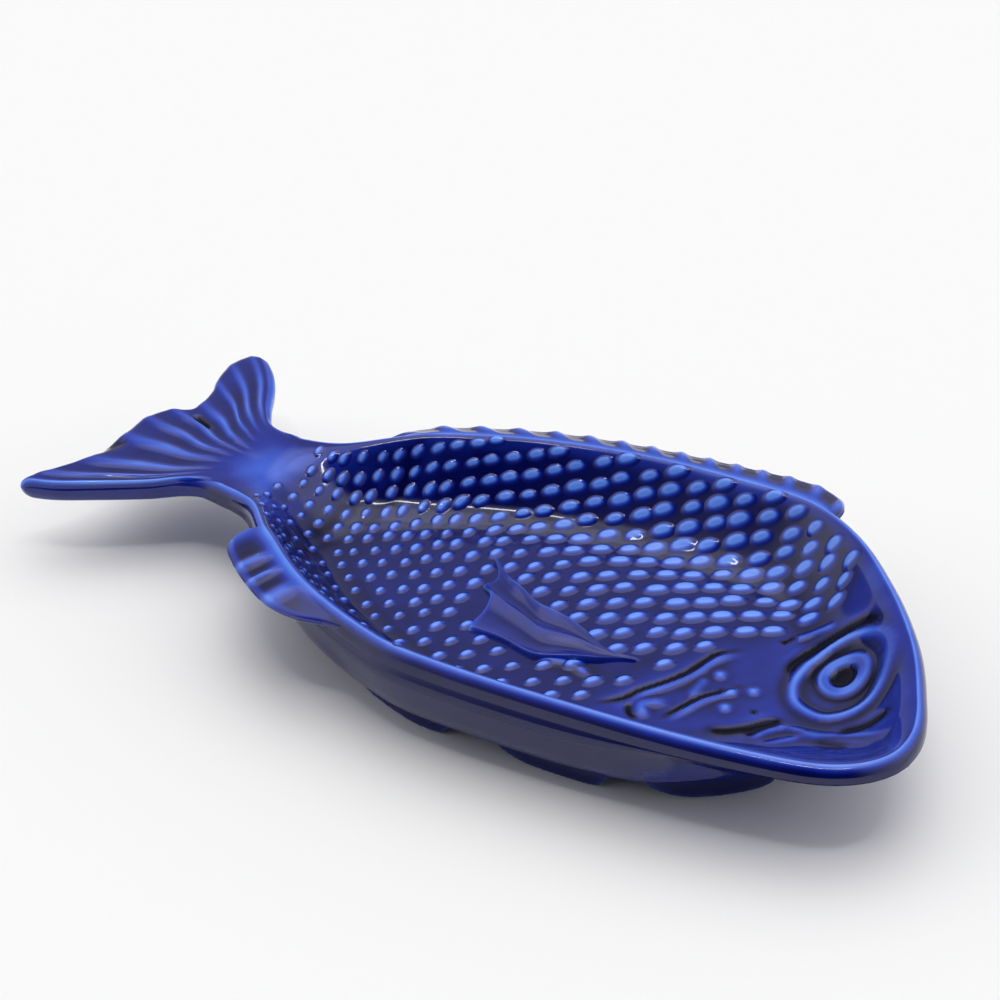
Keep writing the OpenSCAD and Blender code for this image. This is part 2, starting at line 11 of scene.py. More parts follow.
import bpy
import numpy as np
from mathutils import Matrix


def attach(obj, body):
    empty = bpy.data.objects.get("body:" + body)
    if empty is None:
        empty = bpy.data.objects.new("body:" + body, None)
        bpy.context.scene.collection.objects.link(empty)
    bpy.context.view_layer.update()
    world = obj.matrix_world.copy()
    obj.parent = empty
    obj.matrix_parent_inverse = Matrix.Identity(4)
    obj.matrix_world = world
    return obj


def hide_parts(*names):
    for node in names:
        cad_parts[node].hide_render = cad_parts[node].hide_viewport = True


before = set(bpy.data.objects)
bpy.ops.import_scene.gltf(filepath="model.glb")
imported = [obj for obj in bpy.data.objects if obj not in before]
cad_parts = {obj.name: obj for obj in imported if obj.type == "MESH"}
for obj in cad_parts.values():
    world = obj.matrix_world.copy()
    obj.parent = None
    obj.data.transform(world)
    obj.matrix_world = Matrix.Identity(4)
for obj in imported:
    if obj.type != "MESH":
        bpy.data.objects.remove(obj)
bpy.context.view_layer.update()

MM = 0.001

# Sizes of the dish in millimetres, those of the frame's solids but for the wall's run
BODY_LENGTH = 276
BACK_WIDTH = 96
BELLY_WIDTH = 62
AXIS_Y = -20
JOINT_X = -110
NOSE_X = JOINT_X + BODY_LENGTH
RIM_HEIGHT = 42
WELL_FLOOR = 17
WALL_RUN = 32
NOSE_WALL_RUN = 46
LIP_RADIUS = 4
RIM_BAND = 3
BASE_INSET = 15
NOSE_INSET = 48
BASE_HEIGHT = 10
HEAD_RISE = 7
TAIL_LENGTH = 60
TAIL_BACK_REACH = 51
TAIL_BELLY_REACH = 70
TAIL_FORK = 11
TAIL_THICKNESS = 9
TAIL_HEIGHT = 35
FIN_THICKNESS = 5.5

# Shape of the walls
WALL_POWER = 2.3
WALL_OVER = 3
RIM_BLEND = 4
BULGE_POWER = 3.2
CHAMFER_POWER = 1.2
TROUGH = 1.5
INSET_SWELL = 0.6
NOSE_THIN = 0.5
CREST_SLOPE = 50
WELL_SLOPE = 34
BASE_SLOPE = 40

# Outlines of the rim from the nose to the tail joint: share of the length, share of the width
BACK_OUTLINE = [
    (0, 0), (0.036, 0.27), (0.1, 0.52), (0.185, 0.75), (0.275, 0.93), (0.355, 1),
    (0.45, 0.96), (0.58, 0.865), (0.72, 0.69), (0.85, 0.44), (0.93, 0.25), (1, 0.175),
]
BELLY_OUTLINE = [
    (0, 0), (0.04, 0.32), (0.14, 0.53), (0.32, 0.77), (0.52, 0.97), (0.6, 1), (0.74, 0.885),
    (0.86, 0.64), (0.93, 0.43), (0.97, 0.38), (1, 0.375),
]

# Steps of the skins
DISH_ROWS = 280
WELL_STEPS = 200
RIM_STEPS = 16
UNDER_STEPS = 48
RIM_CROWDING = 0.5
TAIL_ROWS = 110
TAIL_ROW_POWER = 1.4
JOINT_ROWS = 6


def mix(a, b, t):
    return a + (b - a) * t


def ease(a, b, x):
    """Smooth step from 0 at a to 1 at b."""
    t = np.clip((x - a) / (b - a), 0, 1)
    return t * t * (3 - 2 * t)


def soft_min(a, b, blend):
    h = np.maximum(blend - np.abs(a - b), 0) / blend
    return np.minimum(a, b) - h * h * blend / 4


def curve(points, t):
    """Smooth curve through (place, value) points, with slopes taken from the neighbours."""
    place, value = np.array(points, float).T
    ahead = np.r_[1:len(place), len(place) - 1]
    behind = np.r_[0, 0:len(place) - 1]
    slope = (value[ahead] - value[behind]) / (place[ahead] - place[behind])
    t = np.clip(t, place[0], place[-1])
    i = np.clip(np.searchsorted(place, t, side="right") - 1, 0, len(place) - 2)
    run = place[i + 1] - place[i]
    s = (t - place[i]) / run
    start = (1 + 2 * s) * (1 - s) ** 2 * value[i] + s * (1 - s) ** 2 * run * slope[i]
    return start + s * s * (3 - 2 * s) * value[i + 1] + s * s * (s - 1) * run * slope[i + 1]


def path(points, t):
    """Plan points at the shares t of a smooth path."""
    points = np.array(points, float)
    share = np.linspace(0, 1, len(points))
    return np.stack([curve(np.c_[share, points[:, k]], t) for k in (0, 1)], -1)


def span(root, lower, upper, end, t, j):
    """A plan sheet between four edges: t runs from the root to the end, j from lower to upper."""
    t, j = t[..., None], j[..., None]
    first, last = np.array(lower, float)[[0, -1]]
    top_first, top_last = np.array(upper, float)[[0, -1]]
    corners = mix(mix(first, top_first, j), mix(last, top_last, j), t)
    sides = mix(path(lower, t[..., 0]), path(upper, t[..., 0]), j)
    return sides + mix(path(root, j[..., 0]), path(end, j[..., 0]), t) - corners


def from_nose(share):
    return NOSE_X - share * BODY_LENGTH


HEAD_START = from_nose(0.34)
CHAMFER = (from_nose(0.385), from_nose(0.185))
SETBACK = (from_nose(0.295), from_nose(0.06))
SLOPE_STEP = 0.4
SQUARE_LENGTH = 15


def rim_y(x, side):
    """Rim crest of the back (side 1) or the belly (side -1)."""
    outline, width = (BACK_OUTLINE, BACK_WIDTH) if side > 0 else (BELLY_OUTLINE, -BELLY_WIDTH)
    rooted = [(math.sqrt(share), value) for share, value in outline]
    return AXIS_Y + width * curve(rooted, np.sqrt(np.clip((NOSE_X - x) / BODY_LENGTH, 0, 1)))


def middle_y(x):
    return (rim_y(x, 1) + rim_y(x, -1)) / 2


def half_width(x):
    return (rim_y(x, 1) - rim_y(x, -1)) / 2


def rim_slope(x, side):
    m = np.clip(x, JOINT_X + SLOPE_STEP, NOSE_X - SLOPE_STEP)
    return (rim_y(m + SLOPE_STEP, side) - rim_y(m - SLOPE_STEP, side)) / (2 * SLOPE_STEP)


def rim_edge(x, side, reach):
    """Plan points at a distance outside the rim's crest."""
    slope = rim_slope(x, side)
    turn = ease(JOINT_X, JOINT_X + SQUARE_LENGTH, x)
    length = np.hypot(1, slope)
    out_x = turn * -side * slope / length
    out_y = mix(side, side / length, turn)
    scale = reach / np.hypot(out_x, out_y)
    return x + scale * out_x, rim_y(x, side) + scale * out_y


def inset(x, v, half):
    """Distance in from the rim at the place v across, from -1 at the belly to 1 at the back."""
    q = np.clip(1 - v * v, 0, 1)
    cosine = [1 / np.hypot(1, rim_slope(x, side)) for side in (-1, 1)]
    return half * mix(cosine[0], cosine[1], (v + 1) / 2) * q / 2 * (1 + INSET_SWELL * q)


def crest_z(x):
    return mix(TAIL_HEIGHT, RIM_HEIGHT, ease(JOINT_X, JOINT_X + CREST_SLOPE, x))


def floor_z(x):
    drop = ease(JOINT_X, JOINT_X + WELL_SLOPE, x)
    return mix(TAIL_HEIGHT - TROUGH, WELL_FLOOR, drop) + HEAD_RISE * ease(HEAD_START, NOSE_X, x)


def base_z(x):
    return mix(TAIL_HEIGHT - TAIL_THICKNESS, BASE_HEIGHT, ease(JOINT_X, JOINT_X + BASE_SLOPE, x))


def well_z(x, v):
    """Upper side of the dish."""
    rise = crest_z(x) - floor_z(x)
    run = mix(WALL_RUN, NOSE_WALL_RUN, ease(HEAD_START, NOSE_X, x))
    w = np.maximum(0, 1 - inset(x, v, half_width(x)) / run)
    return floor_z(x) + soft_min((rise + WALL_OVER) * w ** WALL_POWER, rise, RIM_BLEND)


def lip_drop(x):
    """Height of the rounded rim, from its crest to the top of the outer wall."""
    return LIP_RADIUS + RIM_BAND * (1 - NOSE_THIN * ease(CHAMFER[0], NOSE_X, x))


def under_z(x, v):
    """Lower side of the dish, which leans in under the head."""
    rise = crest_z(x) - lip_drop(x) - base_z(x)
    reach = mix(BASE_INSET, NOSE_INSET, ease(*SETBACK, x))
    power = mix(BULGE_POWER, CHAMFER_POWER, ease(*CHAMFER, x))
    w = np.maximum(0, 1 - inset(x, v, half_width(x) + LIP_RADIUS) / reach)
    return base_z(x) + rise * w ** power


def spread(steps):
    """Places across, a little closer towards the rim."""
    even = np.linspace(-1, 1, steps + 1)
    return mix(even, np.sin(even * math.pi / 2), RIM_CROWDING)


STATION_POWER = 1.24
NOSE_STATION = 0.0002
KEEL_POWER = 3


def rim_round(x, side):
    """The round of the rim, from its crest to the top of the outer wall."""
    a = np.linspace(0, math.pi / 2, RIM_STEPS + 1)[1:]
    px, py = rim_edge(x, side, LIP_RADIUS * np.sin(a))
    return np.stack(np.broadcast_arrays(px, py, crest_z(x) - lip_drop(x) * (1 - np.cos(a))), -1)


def dish_loops(stations):
    """Closed sections of the dish: the well from belly to back, the rim, the underside, the rim."""
    s = stations[:, None]
    x = NOSE_X - BODY_LENGTH * s ** STATION_POWER
    v = spread(WELL_STEPS)[None, :]
    well = np.stack(np.broadcast_arrays(x, middle_y(x) + v * half_width(x), well_z(x, v)), -1)
    u = spread(UNDER_STEPS)[None, ::-1]
    keel_x = x + LIP_RADIUS * (1 - s) ** KEEL_POWER
    back_x, back_y = rim_edge(x, 1, LIP_RADIUS)
    belly_x, belly_y = rim_edge(x, -1, LIP_RADIUS)
    under_x = mix(keel_x, np.where(u < 0, belly_x, back_x), np.abs(u))
    under_y = mix(middle_y(x), np.where(u < 0, belly_y, back_y), np.abs(u))
    under = np.stack([under_x, under_y, under_z(x, u)], -1)
    return np.concatenate([well, rim_round(x, 1), under, rim_round(x, -1)[:, ::-1]], 1)


def grid_normals(grid):
    along = np.gradient(grid, axis=0)
    across = np.gradient(grid, axis=1)
    normal = np.cross(across, along)
    return normal / np.maximum(np.linalg.norm(normal, axis=-1, keepdims=True), 1e-9)


STROKE_STEPS = 40
TAPER = 0.28


def stroke(points, x, y):
    """Distance of plan points to a smooth path, and the share along it."""
    line = path(points, np.linspace(0, 1, STROKE_STEPS + 1))
    best = np.full(x.shape, np.inf)
    share = np.zeros(x.shape)
    for k in range(STROKE_STEPS):
        d = line[k + 1] - line[k]
        t = np.clip(((x - line[k, 0]) * d[0] + (y - line[k, 1]) * d[1]) / (d @ d), 0, 1)
        off_x = x - line[k, 0] - t * d[0]
        off_y = y - line[k, 1] - t * d[1]
        distance = np.hypot(off_x, off_y)
        near = distance < best
        best = np.where(near, distance, best)
        share = np.where(near, (k + t) / STROKE_STEPS, share)
    return best, share


def taper(share):
    return ease(0, TAPER, share) * (1 - ease(1 - TAPER, 1, share))


def trace(points, x, y, height, width):
    """A soft ridge along a path, or a groove where the height is negative."""
    d, share = stroke(points, x, y)
    return height * np.exp(-(d / width) ** 2) * taper(share)


def dome(centre, x, y, height, reach):
    return height * np.exp(-(np.hypot(x - centre[0], y - centre[1]) / reach) ** 2)


# Carving of the head: paths in plan in millimetres, each with its height and half its width
CARVING = [
    # Gill cover: a narrow groove with a ridge in front of it
    ([(59, -40), (62.5, -35.5), (66, -30), (67.5, -24), (70, -18), (73, -10), (74.5, -3), (75, 4),
      (75.7, 9), (78, 13), (84.5, 19.5)], -1.3, 1.1),
    ([(66, -38), (68.5, -30), (69.5, -24), (72, -18), (75, -10), (76.8, -3), (77.2, 4), (78.5, 9), (81, 12),
      (85.5, 16)], 0.7, 1.5),
    # Cheek: a second groove and ridge
    ([(82, -33), (83.5, -25), (85.5, -16), (87, -12), (90, -7), (94.3, 1)], -1.2, 1.0),
    ([(84.5, -34), (85.8, -24), (87.6, -15), (89.5, -11), (92, -7), (95, -2)], 0.7, 1.5),
    ([(82, -3), (81.5, -7), (82.3, -12), (83, -17)], 0.5, 1.6),
    # Hook of the gill
    ([(80.5, -21), (75.5, -25.5), (73.2, -29), (75, -32), (79, -35.5)], 0.8, 1.9),
    ([(68.5, -31), (70.5, -34), (73, -36), (76.5, -36.5)], -0.9, 0.9),
    # Jaw: a deep hollow with the fold of the lip in front of it
    ([(95, -28), (103, -25), (108, -20), (112, -14), (118, -8)], -1.3, 2.2),
    ([(109, -24), (112, -19), (113.5, -14), (117, -9.5)], -1.0, 2.2),
    ([(114, -26), (114.5, -19), (117, -14), (120, -11)], 0.8, 1.6),
    # Lips and mouth
    ([(116, -13), (122, -12), (131, -11.8), (139, -9.8), (148, -8.6), (156, -9.5)], 0.9, 1.7),
    ([(113, -26), (120, -23.5), (124.5, -18.5), (128, -14.5), (137, -13.5), (147, -13), (154, -15)],
     0.6, 1.8),
    ([(131, -15.5), (139, -15.5), (146, -16.5)], -0.5, 2.2),
    ([(135, -8.5), (141, -5.5), (146, -2), (149.5, 3.5)], -1.3, 1.9),
    ([(104.5, -9), (106, -12)], -0.6, 0.9),
    # Brow and nape
    ([(105, 13.5), (101, 17), (100.5, 25), (102.5, 32.5), (106.5, 37.8), (112, 40), (118, 39.8),
      (125, 36.5)], -1.4, 1.8),
    ([(91, 29), (93.5, 34.5), (97, 39), (100.5, 41.3), (104, 42.3)], 0.8, 1.2),
    ([(89.8, 27), (91, 31), (93, 35)], -0.8, 1.0),
    # Lobe beside the pectoral fin
    ([(29, -33), (33, -30.5), (38, -28.2), (45, -27.6), (50.5, -28.8)], 1.2, 1.5),
]
# Shares of the carving's heights that are modelled
RIDGE_SHARE = 0.65
GROOVE_SHARE = 0.35
CARVING_SPREAD = 1.2
CHEEK_SPOTS = [(83.7, 0.3), (92.3, -5.5), (96, -14), (98.5, -1)]
SPOT_HEIGHT = 0.6
SPOT_REACH = 2.2
SOCKET_EDGE = [
    (105.3, 22), (106.3, 14), (109, 7), (114, 1), (121, -1.8), (127.5, -2.2), (133.5, 1.2), (137.8, 6.5),
    (138.6, 13), (136.5, 21), (132, 28.5), (126, 33.5), (119, 36), (112.5, 36), (107.5, 31.5), (105.3, 22),
]
SOCKET_HEIGHT = 1.2
SOCKET_WIDTH = 2.4
EYE_CENTRE = (121.3, 19)
EYE_AXIS = math.radians(-45)
EYE_STRETCH = 1.3
EYE_RADIUS = 6.5
EYE_WIDTH = 2.5
EYE_HEIGHT = 1.3
PUPIL_DEPTH = 0.4


def eye_distance(x, y):
    """Distance from the eye's centre, drawn in along its longer axis."""
    x, y = x - EYE_CENTRE[0], y - EYE_CENTRE[1]
    along = x * math.cos(EYE_AXIS) + y * math.sin(EYE_AXIS)
    across = y * math.cos(EYE_AXIS) - x * math.sin(EYE_AXIS)
    return np.hypot(along / EYE_STRETCH, across)


def head_relief(x, y):
    """Height of the carving over the smooth well, and the depth of the glaze pooled in its grooves."""
    relief = np.zeros(x.shape)
    pool = np.zeros(x.shape)
    for points, height, width in CARVING:
        ridge = trace(points, x, y, height, CARVING_SPREAD * width)
        relief += ridge * (RIDGE_SHARE if height > 0 else GROOVE_SHARE)
        pool -= np.minimum(ridge, 0)
    for spot in CHEEK_SPOTS:
        relief += dome(spot, x, y, SPOT_HEIGHT, SPOT_REACH)
    socket, _ = stroke(SOCKET_EDGE, x, y)
    relief += SOCKET_HEIGHT * np.exp(-(socket / SOCKET_WIDTH) ** 2)
    r = eye_distance(x, y)
    relief += EYE_HEIGHT * np.exp(-((r - EYE_RADIUS) / EYE_WIDTH) ** 4)
    pupil = np.exp(-(r / (EYE_RADIUS - EYE_WIDTH)) ** 4)
    return relief - PUPIL_DEPTH * pupil, pool + pupil


def loop_faces(rows, n):
    """Quads that skin closed loops of n points."""
    r, j = np.meshgrid(np.arange(rows - 1), np.arange(n), indexing="ij")
    a, b = r * n + j, r * n + (j + 1) % n
    return np.stack([a, b, b + n, a + n], -1).reshape(-1, 4)


def make_mesh(name, points, faces):
    """Smooth shaded object from points in millimetres."""
    mesh = bpy.data.meshes.new(name)
    mesh.from_pydata((np.asarray(points) * MM).tolist(), [], np.asarray(faces).tolist())
    mesh.shade_smooth()
    piece = bpy.data.objects.new(name, mesh)
    bpy.context.scene.collection.objects.link(piece)
    return piece


def bake(piece):
    """Turns a piece with modifiers into a plain mesh."""
    graph = bpy.context.evaluated_depsgraph_get()
    mesh = bpy.data.meshes.new_from_object(piece.evaluated_get(graph))
    piece.modifiers.clear()
    piece.data = mesh


def store(piece, name, values):
    """Stores values on a piece as a point attribute."""
    attribute = piece.data.attributes.new(name, "FLOAT", "POINT")
    attribute.data.foreach_set("value", np.asarray(values, np.float32).ravel())


def coordinates(mesh):
    """Points of a mesh in millimetres."""
    co = np.empty(len(mesh.vertices) * 3, np.float32)
    mesh.vertices.foreach_get("co", co)
    return co.reshape(-1, 3).astype(float) / MM


def vertex_normals(mesh):
    normals = np.empty(len(mesh.vertices) * 3, np.float32)
    mesh.vertex_normals.foreach_get("vector", normals)
    return normals.reshape(-1, 3).astype(float)


SMOOTHING = 0.8


def convexity(mesh, passes):
    """How far each point stands out of the skin smoothed round it, in millimetres."""
    points = coordinates(mesh)
    edges = np.empty(len(mesh.edges) * 2, np.int32)
    mesh.edges.foreach_get("vertices", edges)
    a, b = edges.reshape(-1, 2).T
    count = np.bincount(edges, minlength=len(points))[:, None]
    smooth = points
    for _ in range(passes):
        total = np.zeros_like(points)
        for k in range(3):
            total[:, k] = np.bincount(a, smooth[b, k], len(points))
            total[:, k] += np.bincount(b, smooth[a, k], len(points))
        smooth = mix(smooth, total / np.maximum(count, 1), SMOOTHING)
    return ((points - smooth) * vertex_normals(mesh)).sum(1)


# Thinness of the glaze: at rest, over edges and hollows, and by its place on the dish; the crest's value
# also holds a painted highlight, and the values under the lip and outside also hold painted shade
GLAZE_PASSES = 14
GLAZE_SPAN = 0.4
GLAZE_REST = 0.45
GLAZE_SWING = 0.6
GLAZE_POOL = 0.38
# Crest: thin glaze with a painted highlight; under the lip and outside: glaze with painted shade
CREST_GLAZE_AND_HIGHLIGHT = 0.94
UNDER_LIP_POOL_AND_SHADE = 0.24
OUTSIDE_GLAZE_AND_SHADE = 0.4
HEAD_GLAZE = 0.02
HEAD_BRIGHT = (70, 110)
WALL_SHADE = (0.84, 0.97)
LIP_SHADE = 0.65


def raised_glaze(mesh):
    """How thin the glaze lies: towards 1 on raised edges, towards 0 in hollows."""
    return GLAZE_REST + GLAZE_SWING * np.tanh(convexity(mesh, GLAZE_PASSES) / GLAZE_SPAN)


def lip_glaze_and_painted_light(share):
    """Glaze down the round of the rim, from its crest to the outer wall: bright on the crest, partly thin
    glaze and partly painted highlight, and dark under the lip, partly pooled glaze and partly painted
    shade.
    """
    return mix(CREST_GLAZE_AND_HIGHLIGHT, UNDER_LIP_POOL_AND_SHADE, ease(0, LIP_SHADE, share))


# Ground of the scales: from in front of the tail joint to a line round the head, given as (y, x)
SCALE_START = -99
HEAD_LINE = [
    (-60, 58), (-40, 58), (-20, 61), (0, 69), (10, 72), (20, 78), (30, 86), (40, 91), (50, 98), (70, 106),
]
START_FADE = (-8, 15)
HEAD_FADE = (-8, 6)
SCALE_POOL = 0.11


def scaled_ground(x, y):
    """1 between the scales, 0 on the smooth head and tail."""
    return ease(*HEAD_FADE, curve(HEAD_LINE, y) - x) * ease(*START_FADE, x - SCALE_START)


def glaze_dish(piece, pool):
    """The dish's glaze: thin on the crest of the rim, thick under it, with a painted highlight on the crest
    and painted shade under the lip and on the outer wall. Returns it at the joint.
    """
    thin = raised_glaze(piece.data).reshape(DISH_ROWS + 1, -1)
    well = slice(0, WELL_STEPS + 1)
    spot = coordinates(piece.data).reshape(*thin.shape, 3)[:, well]
    thin[:, well] += HEAD_GLAZE * ease(*HEAD_BRIGHT, spot[..., 0])
    thin[:, well] -= GLAZE_POOL * pool + SCALE_POOL * scaled_ground(spot[..., 0], spot[..., 1])
    # Down the rim's round: painted highlight on the crest, painted shade under the lip
    fall = lip_glaze_and_painted_light(np.arange(1, RIM_STEPS + 1) / RIM_STEPS)
    thin[:, WELL_STEPS + 1:WELL_STEPS + 1 + RIM_STEPS] = fall
    thin[:, -RIM_STEPS:] = fall[::-1]
    # Outer wall: painted shade, darkest just under the lip
    shade = ease(*WALL_SHADE, np.abs(spread(UNDER_STEPS)))
    thin[:, WELL_STEPS + 1 + RIM_STEPS:-RIM_STEPS] = mix(OUTSIDE_GLAZE_AND_SHADE, UNDER_LIP_POOL_AND_SHADE, shade)
    thin[-JOINT_ROWS:] = thin[-JOINT_ROWS]
    thin = np.clip(thin, 0, 1)
    store(piece, "thin", thin)
    return thin[-1]


# Dish

def build_dish():
    """The dish with its rim and base, and the carving of the head."""
    loops = dish_loops(np.linspace(NOSE_STATION, 1, DISH_ROWS + 1))
    well = loops[:, :WELL_STEPS + 1]
    normal = grid_normals(well)
    normal *= np.where(normal[..., 2:] < 0, -1, 1)
    relief, pool = head_relief(well[..., 0], well[..., 1])
    well += normal * relief[..., None]
    rows, n = loops.shape[:2]
    middle = WELL_STEPS // 2
    k = np.arange(n // 2)
    tip = np.stack([(middle + k) % n, (middle - k) % n, (middle - k - 1) % n, (middle + k + 1) % n], -1)
    return make_mesh("dish", loops.reshape(-1, 3), np.r_[loop_faces(rows, n), tip]), pool


# Tail

FORK_SHIFT = 8
FORK_Y = AXIS_Y + FORK_SHIFT


def tail_places(points):
    """Plan points from shares along and across: 0 at the fork, 1 at the back's tip, -1 at the belly's."""
    share, across = np.array(points, float).T
    reach = np.where(across > 0, AXIS_Y + TAIL_BACK_REACH, AXIS_Y - TAIL_BELLY_REACH)
    return np.stack([JOINT_X - share * TAIL_LENGTH, mix(FORK_Y, reach, np.abs(across))], -1)


TAIL_ROOT = [(JOINT_X, rim_y(JOINT_X, -1) - LIP_RADIUS), (JOINT_X, rim_y(JOINT_X, 1) + LIP_RADIUS)]
TAIL_BELLY = np.r_[TAIL_ROOT[:1], tail_places([
    (0.1, -0.455), (0.26, -0.53), (0.43, -0.655), (0.61, -0.785), (0.8, -0.91), (0.98, -0.985),
])]
TAIL_BACK = np.r_[TAIL_ROOT[1:], tail_places([
    (0.12, 0.24), (0.27, 0.27), (0.4, 0.42), (0.57, 0.71), (0.71, 0.9), (0.87, 1.05),
])]
TAIL_END = tail_places([
    (0.98, -0.985), (1.035, -0.96), (0.985, -0.83), (0.9, -0.615), (0.935, -0.385), (0.975, -0.225),
    (0.935, -0.095), (1 - TAIL_FORK / TAIL_LENGTH, 0), (0.87, 0.3), (0.985, 0.58), (1.03, 0.85),
    (0.98, 1.02), (0.87, 1.05),
])
# Shares of the length and the width over which the edges are rounded, and the level left on the sides
TAIL_END_ROUND = 0.07
TAIL_SIDE_ROUND = 0.07
SIDE_LEVEL = 0.33
JOINT_BLEND = 0.45
ROUND_BLEND = 0.35
# Ribs of the tail: the first runs along the belly's edge, and all fade towards the end
TAIL_RIBS = 10.5
TAIL_BEAD = 0.04
TAIL_RIB_START = (0.2, 0.55)
TAIL_RIB_END = (0.6, 1)
TAIL_RIB_FADE = 0.65
TAIL_RIB_HEIGHT = 0.9
TAIL_SHARPNESS = 2.5
RIB_GLAZE = 0.5
RIB_SHADE = 0.12
BEAD_GLAZE = 0.3
BEAD_WIDTH = 0.02
HOLLOW_GLAZE = 0.3
TAIL_SLIT = [(-153.4, -16.4), (-147, -17.6), (-140.9, -19.1)]
SLIT_DEPTH = 1.5
SLIT_WIDTH = 1.1
TAIL_FOLD = [(-164, -59), (-161.5, -52), (-160, -43)]
FOLD_DEPTH = 0.9
FOLD_WIDTH = 2.6


def rib_crest(turns, sharpness):
    """Ribs from 0 in the hollows to 1 on the crests, one for each whole turn."""
    return (0.5 + 0.5 * np.cos(2 * math.pi * turns)) ** sharpness


def edge_round(d, width):
    """Share of the thickness that is left at the distance d from an edge."""
    return np.sqrt(np.clip(1 - np.clip(1 - d / width, 0, 1) ** 2, 0, 1))


def tail_section():
    """Places across the tail's closed section, and its level there from 1 on top to -1 below."""
    flat = TAIL_SIDE_ROUND * (1 - math.sqrt(1 - SIDE_LEVEL ** 2))
    sink = np.linspace(1, -1, RIM_STEPS + 2)[1:-1]
    side = TAIL_SIDE_ROUND * (1 - np.sqrt(1 - (SIDE_LEVEL * sink) ** 2))
    upper = mix(flat, 1 - flat, (spread(WELL_STEPS) + 1) / 2)
    lower = mix(flat, 1 - flat, (spread(UNDER_STEPS)[::-1] + 1) / 2)
    level = [np.ones(WELL_STEPS + 1), sink, -np.ones(UNDER_STEPS + 1), sink[::-1]]
    return np.concatenate([upper, 1 - side, lower, side[::-1]]), np.concatenate(level)


def build_tail(joint_glaze):
    """The forked tail, which grows out of the dish's section at the joint."""
    joint = dish_loops(np.array([1.0]))[0]
    j, level = tail_section()
    edge = np.minimum(j, 1 - j)
    along = 1 - (1 - np.linspace(0, 1, TAIL_ROWS + 1)) ** TAIL_ROW_POWER
    t = np.broadcast_to(along[:, None], (len(along), len(j)))
    plan = span(TAIL_ROOT, TAIL_BELLY, TAIL_BACK, TAIL_END, t, np.broadcast_to(j, t.shape))
    rounded = np.sign(level) * edge_round(edge, TAIL_SIDE_ROUND) * edge_round(1 - t, TAIL_END_ROUND)
    height = TAIL_HEIGHT - TAIL_THICKNESS / 2 * (1 - mix(level, rounded, ease(0, ROUND_BLEND, t)))
    top = level == 1
    hollow = trace(TAIL_SLIT, plan[..., 0], plan[..., 1], SLIT_DEPTH, SLIT_WIDTH)
    hollow += trace(TAIL_FOLD, plan[..., 0], plan[..., 1], FOLD_DEPTH, FOLD_WIDTH)
    height -= top * hollow
    own = np.concatenate([plan, height[..., None]], -1)
    carried = joint + (plan[..., :1] - JOINT_X) * (1, 0, 0)
    loops = mix(carried, own, ease(0, JOINT_BLEND, t)[..., None])
    piece = make_mesh("tail", loops.reshape(-1, 3), loop_faces(*t.shape))
    gain = ease(*TAIL_RIB_START, t) * (1 - TAIL_RIB_FADE * ease(*TAIL_RIB_END, t)) * top
    store(piece, "rib_place", np.broadcast_to(j - TAIL_BEAD, t.shape))
    store(piece, "rib_gain", gain)
    wave = RIB_GLAZE * rib_crest(TAIL_RIBS * (j - TAIL_BEAD), TAIL_SHARPNESS) - RIB_SHADE
    bead = BEAD_GLAZE * np.exp(-((edge - TAIL_BEAD) / BEAD_WIDTH) ** 2)
    # The lower side takes the outside glaze, darkened as painted shade
    thin = np.where(top, GLAZE_REST + gain * wave + bead - HOLLOW_GLAZE * hollow, OUTSIDE_GLAZE_AND_SHADE)
    store(piece, "thin", np.clip(mix(joint_glaze, thin, ease(0, ROUND_BLEND, t)), 0, 1))
    return piece


# Fins

# Section of the fins: the root seats on the lip, and the outer edge droops and thins
FIN_STEPS = 36
FIN_DROOP = 3
FIN_EDGE = 0.45
FIN_ROUND = 0.16
FIN_SEAT = 0.6
FIN_SEAT_RUN = 0.1
FIN_TUCK = 0.7
FIN_SINK = 0.25
FIN_SHARPNESS = 2
FIN_HOLLOW = 0.55
FIN_REST = 0.55
FIN_REST_START = 0.4
# Each fin: its ends, its width along it as shares, and its ribs as (share along, count)
DORSAL = (from_nose(0.322), from_nose(0.9))
DORSAL_WIDTH = 12
DORSAL_SHAPE = [
    (0, 0), (0.015, 0.5), (0.05, 0.88), (0.12, 1), (0.4, 0.72), (0.7, 0.66), (0.92, 0.5), (1, 0),
]
DORSAL_FADE = (0.02, 0.1)
DORSAL_TURNS = [(0, 0), (0.5, 8), (1, 15)]
DORSAL_SLANT = -0.5
DORSAL_ROWS = 360
DORSAL_RIB_HEIGHT = 1.2
ANAL = (from_nose(0.875), from_nose(0.645))
ANAL_WIDTH = 12.5
ANAL_SHAPE = [
    (0, 0), (0.015, 0.45), (0.06, 0.85), (0.2, 1), (0.4, 1), (0.6, 0.92), (0.75, 0.66), (0.88, 0.25),
    (1, 0),
]
ANAL_FADE = (0.03, 0.45)
ANAL_TURNS = [(0, 0), (0.2, 0.5), (0.36, 1.5), (0.48, 2.5), (0.72, 3.5), (1, 4)]
ANAL_SLANT = 0
ANAL_ROWS = 200
ANAL_RIB_HEIGHT = 1.3
# Ribs and bright lines across a fin, as shares of its width
FIN_RIB_SPAN = (0.15, 0.6)
FIN_RIB_END = (0.8, 1)
FIN_RIB_FADE = 0.6
FIN_GLAZE = 0.6
FIN_LINE = 0.9
FIN_LINE_WIDTH = 0.06
FIN_LINE_GLAZE = 0.2


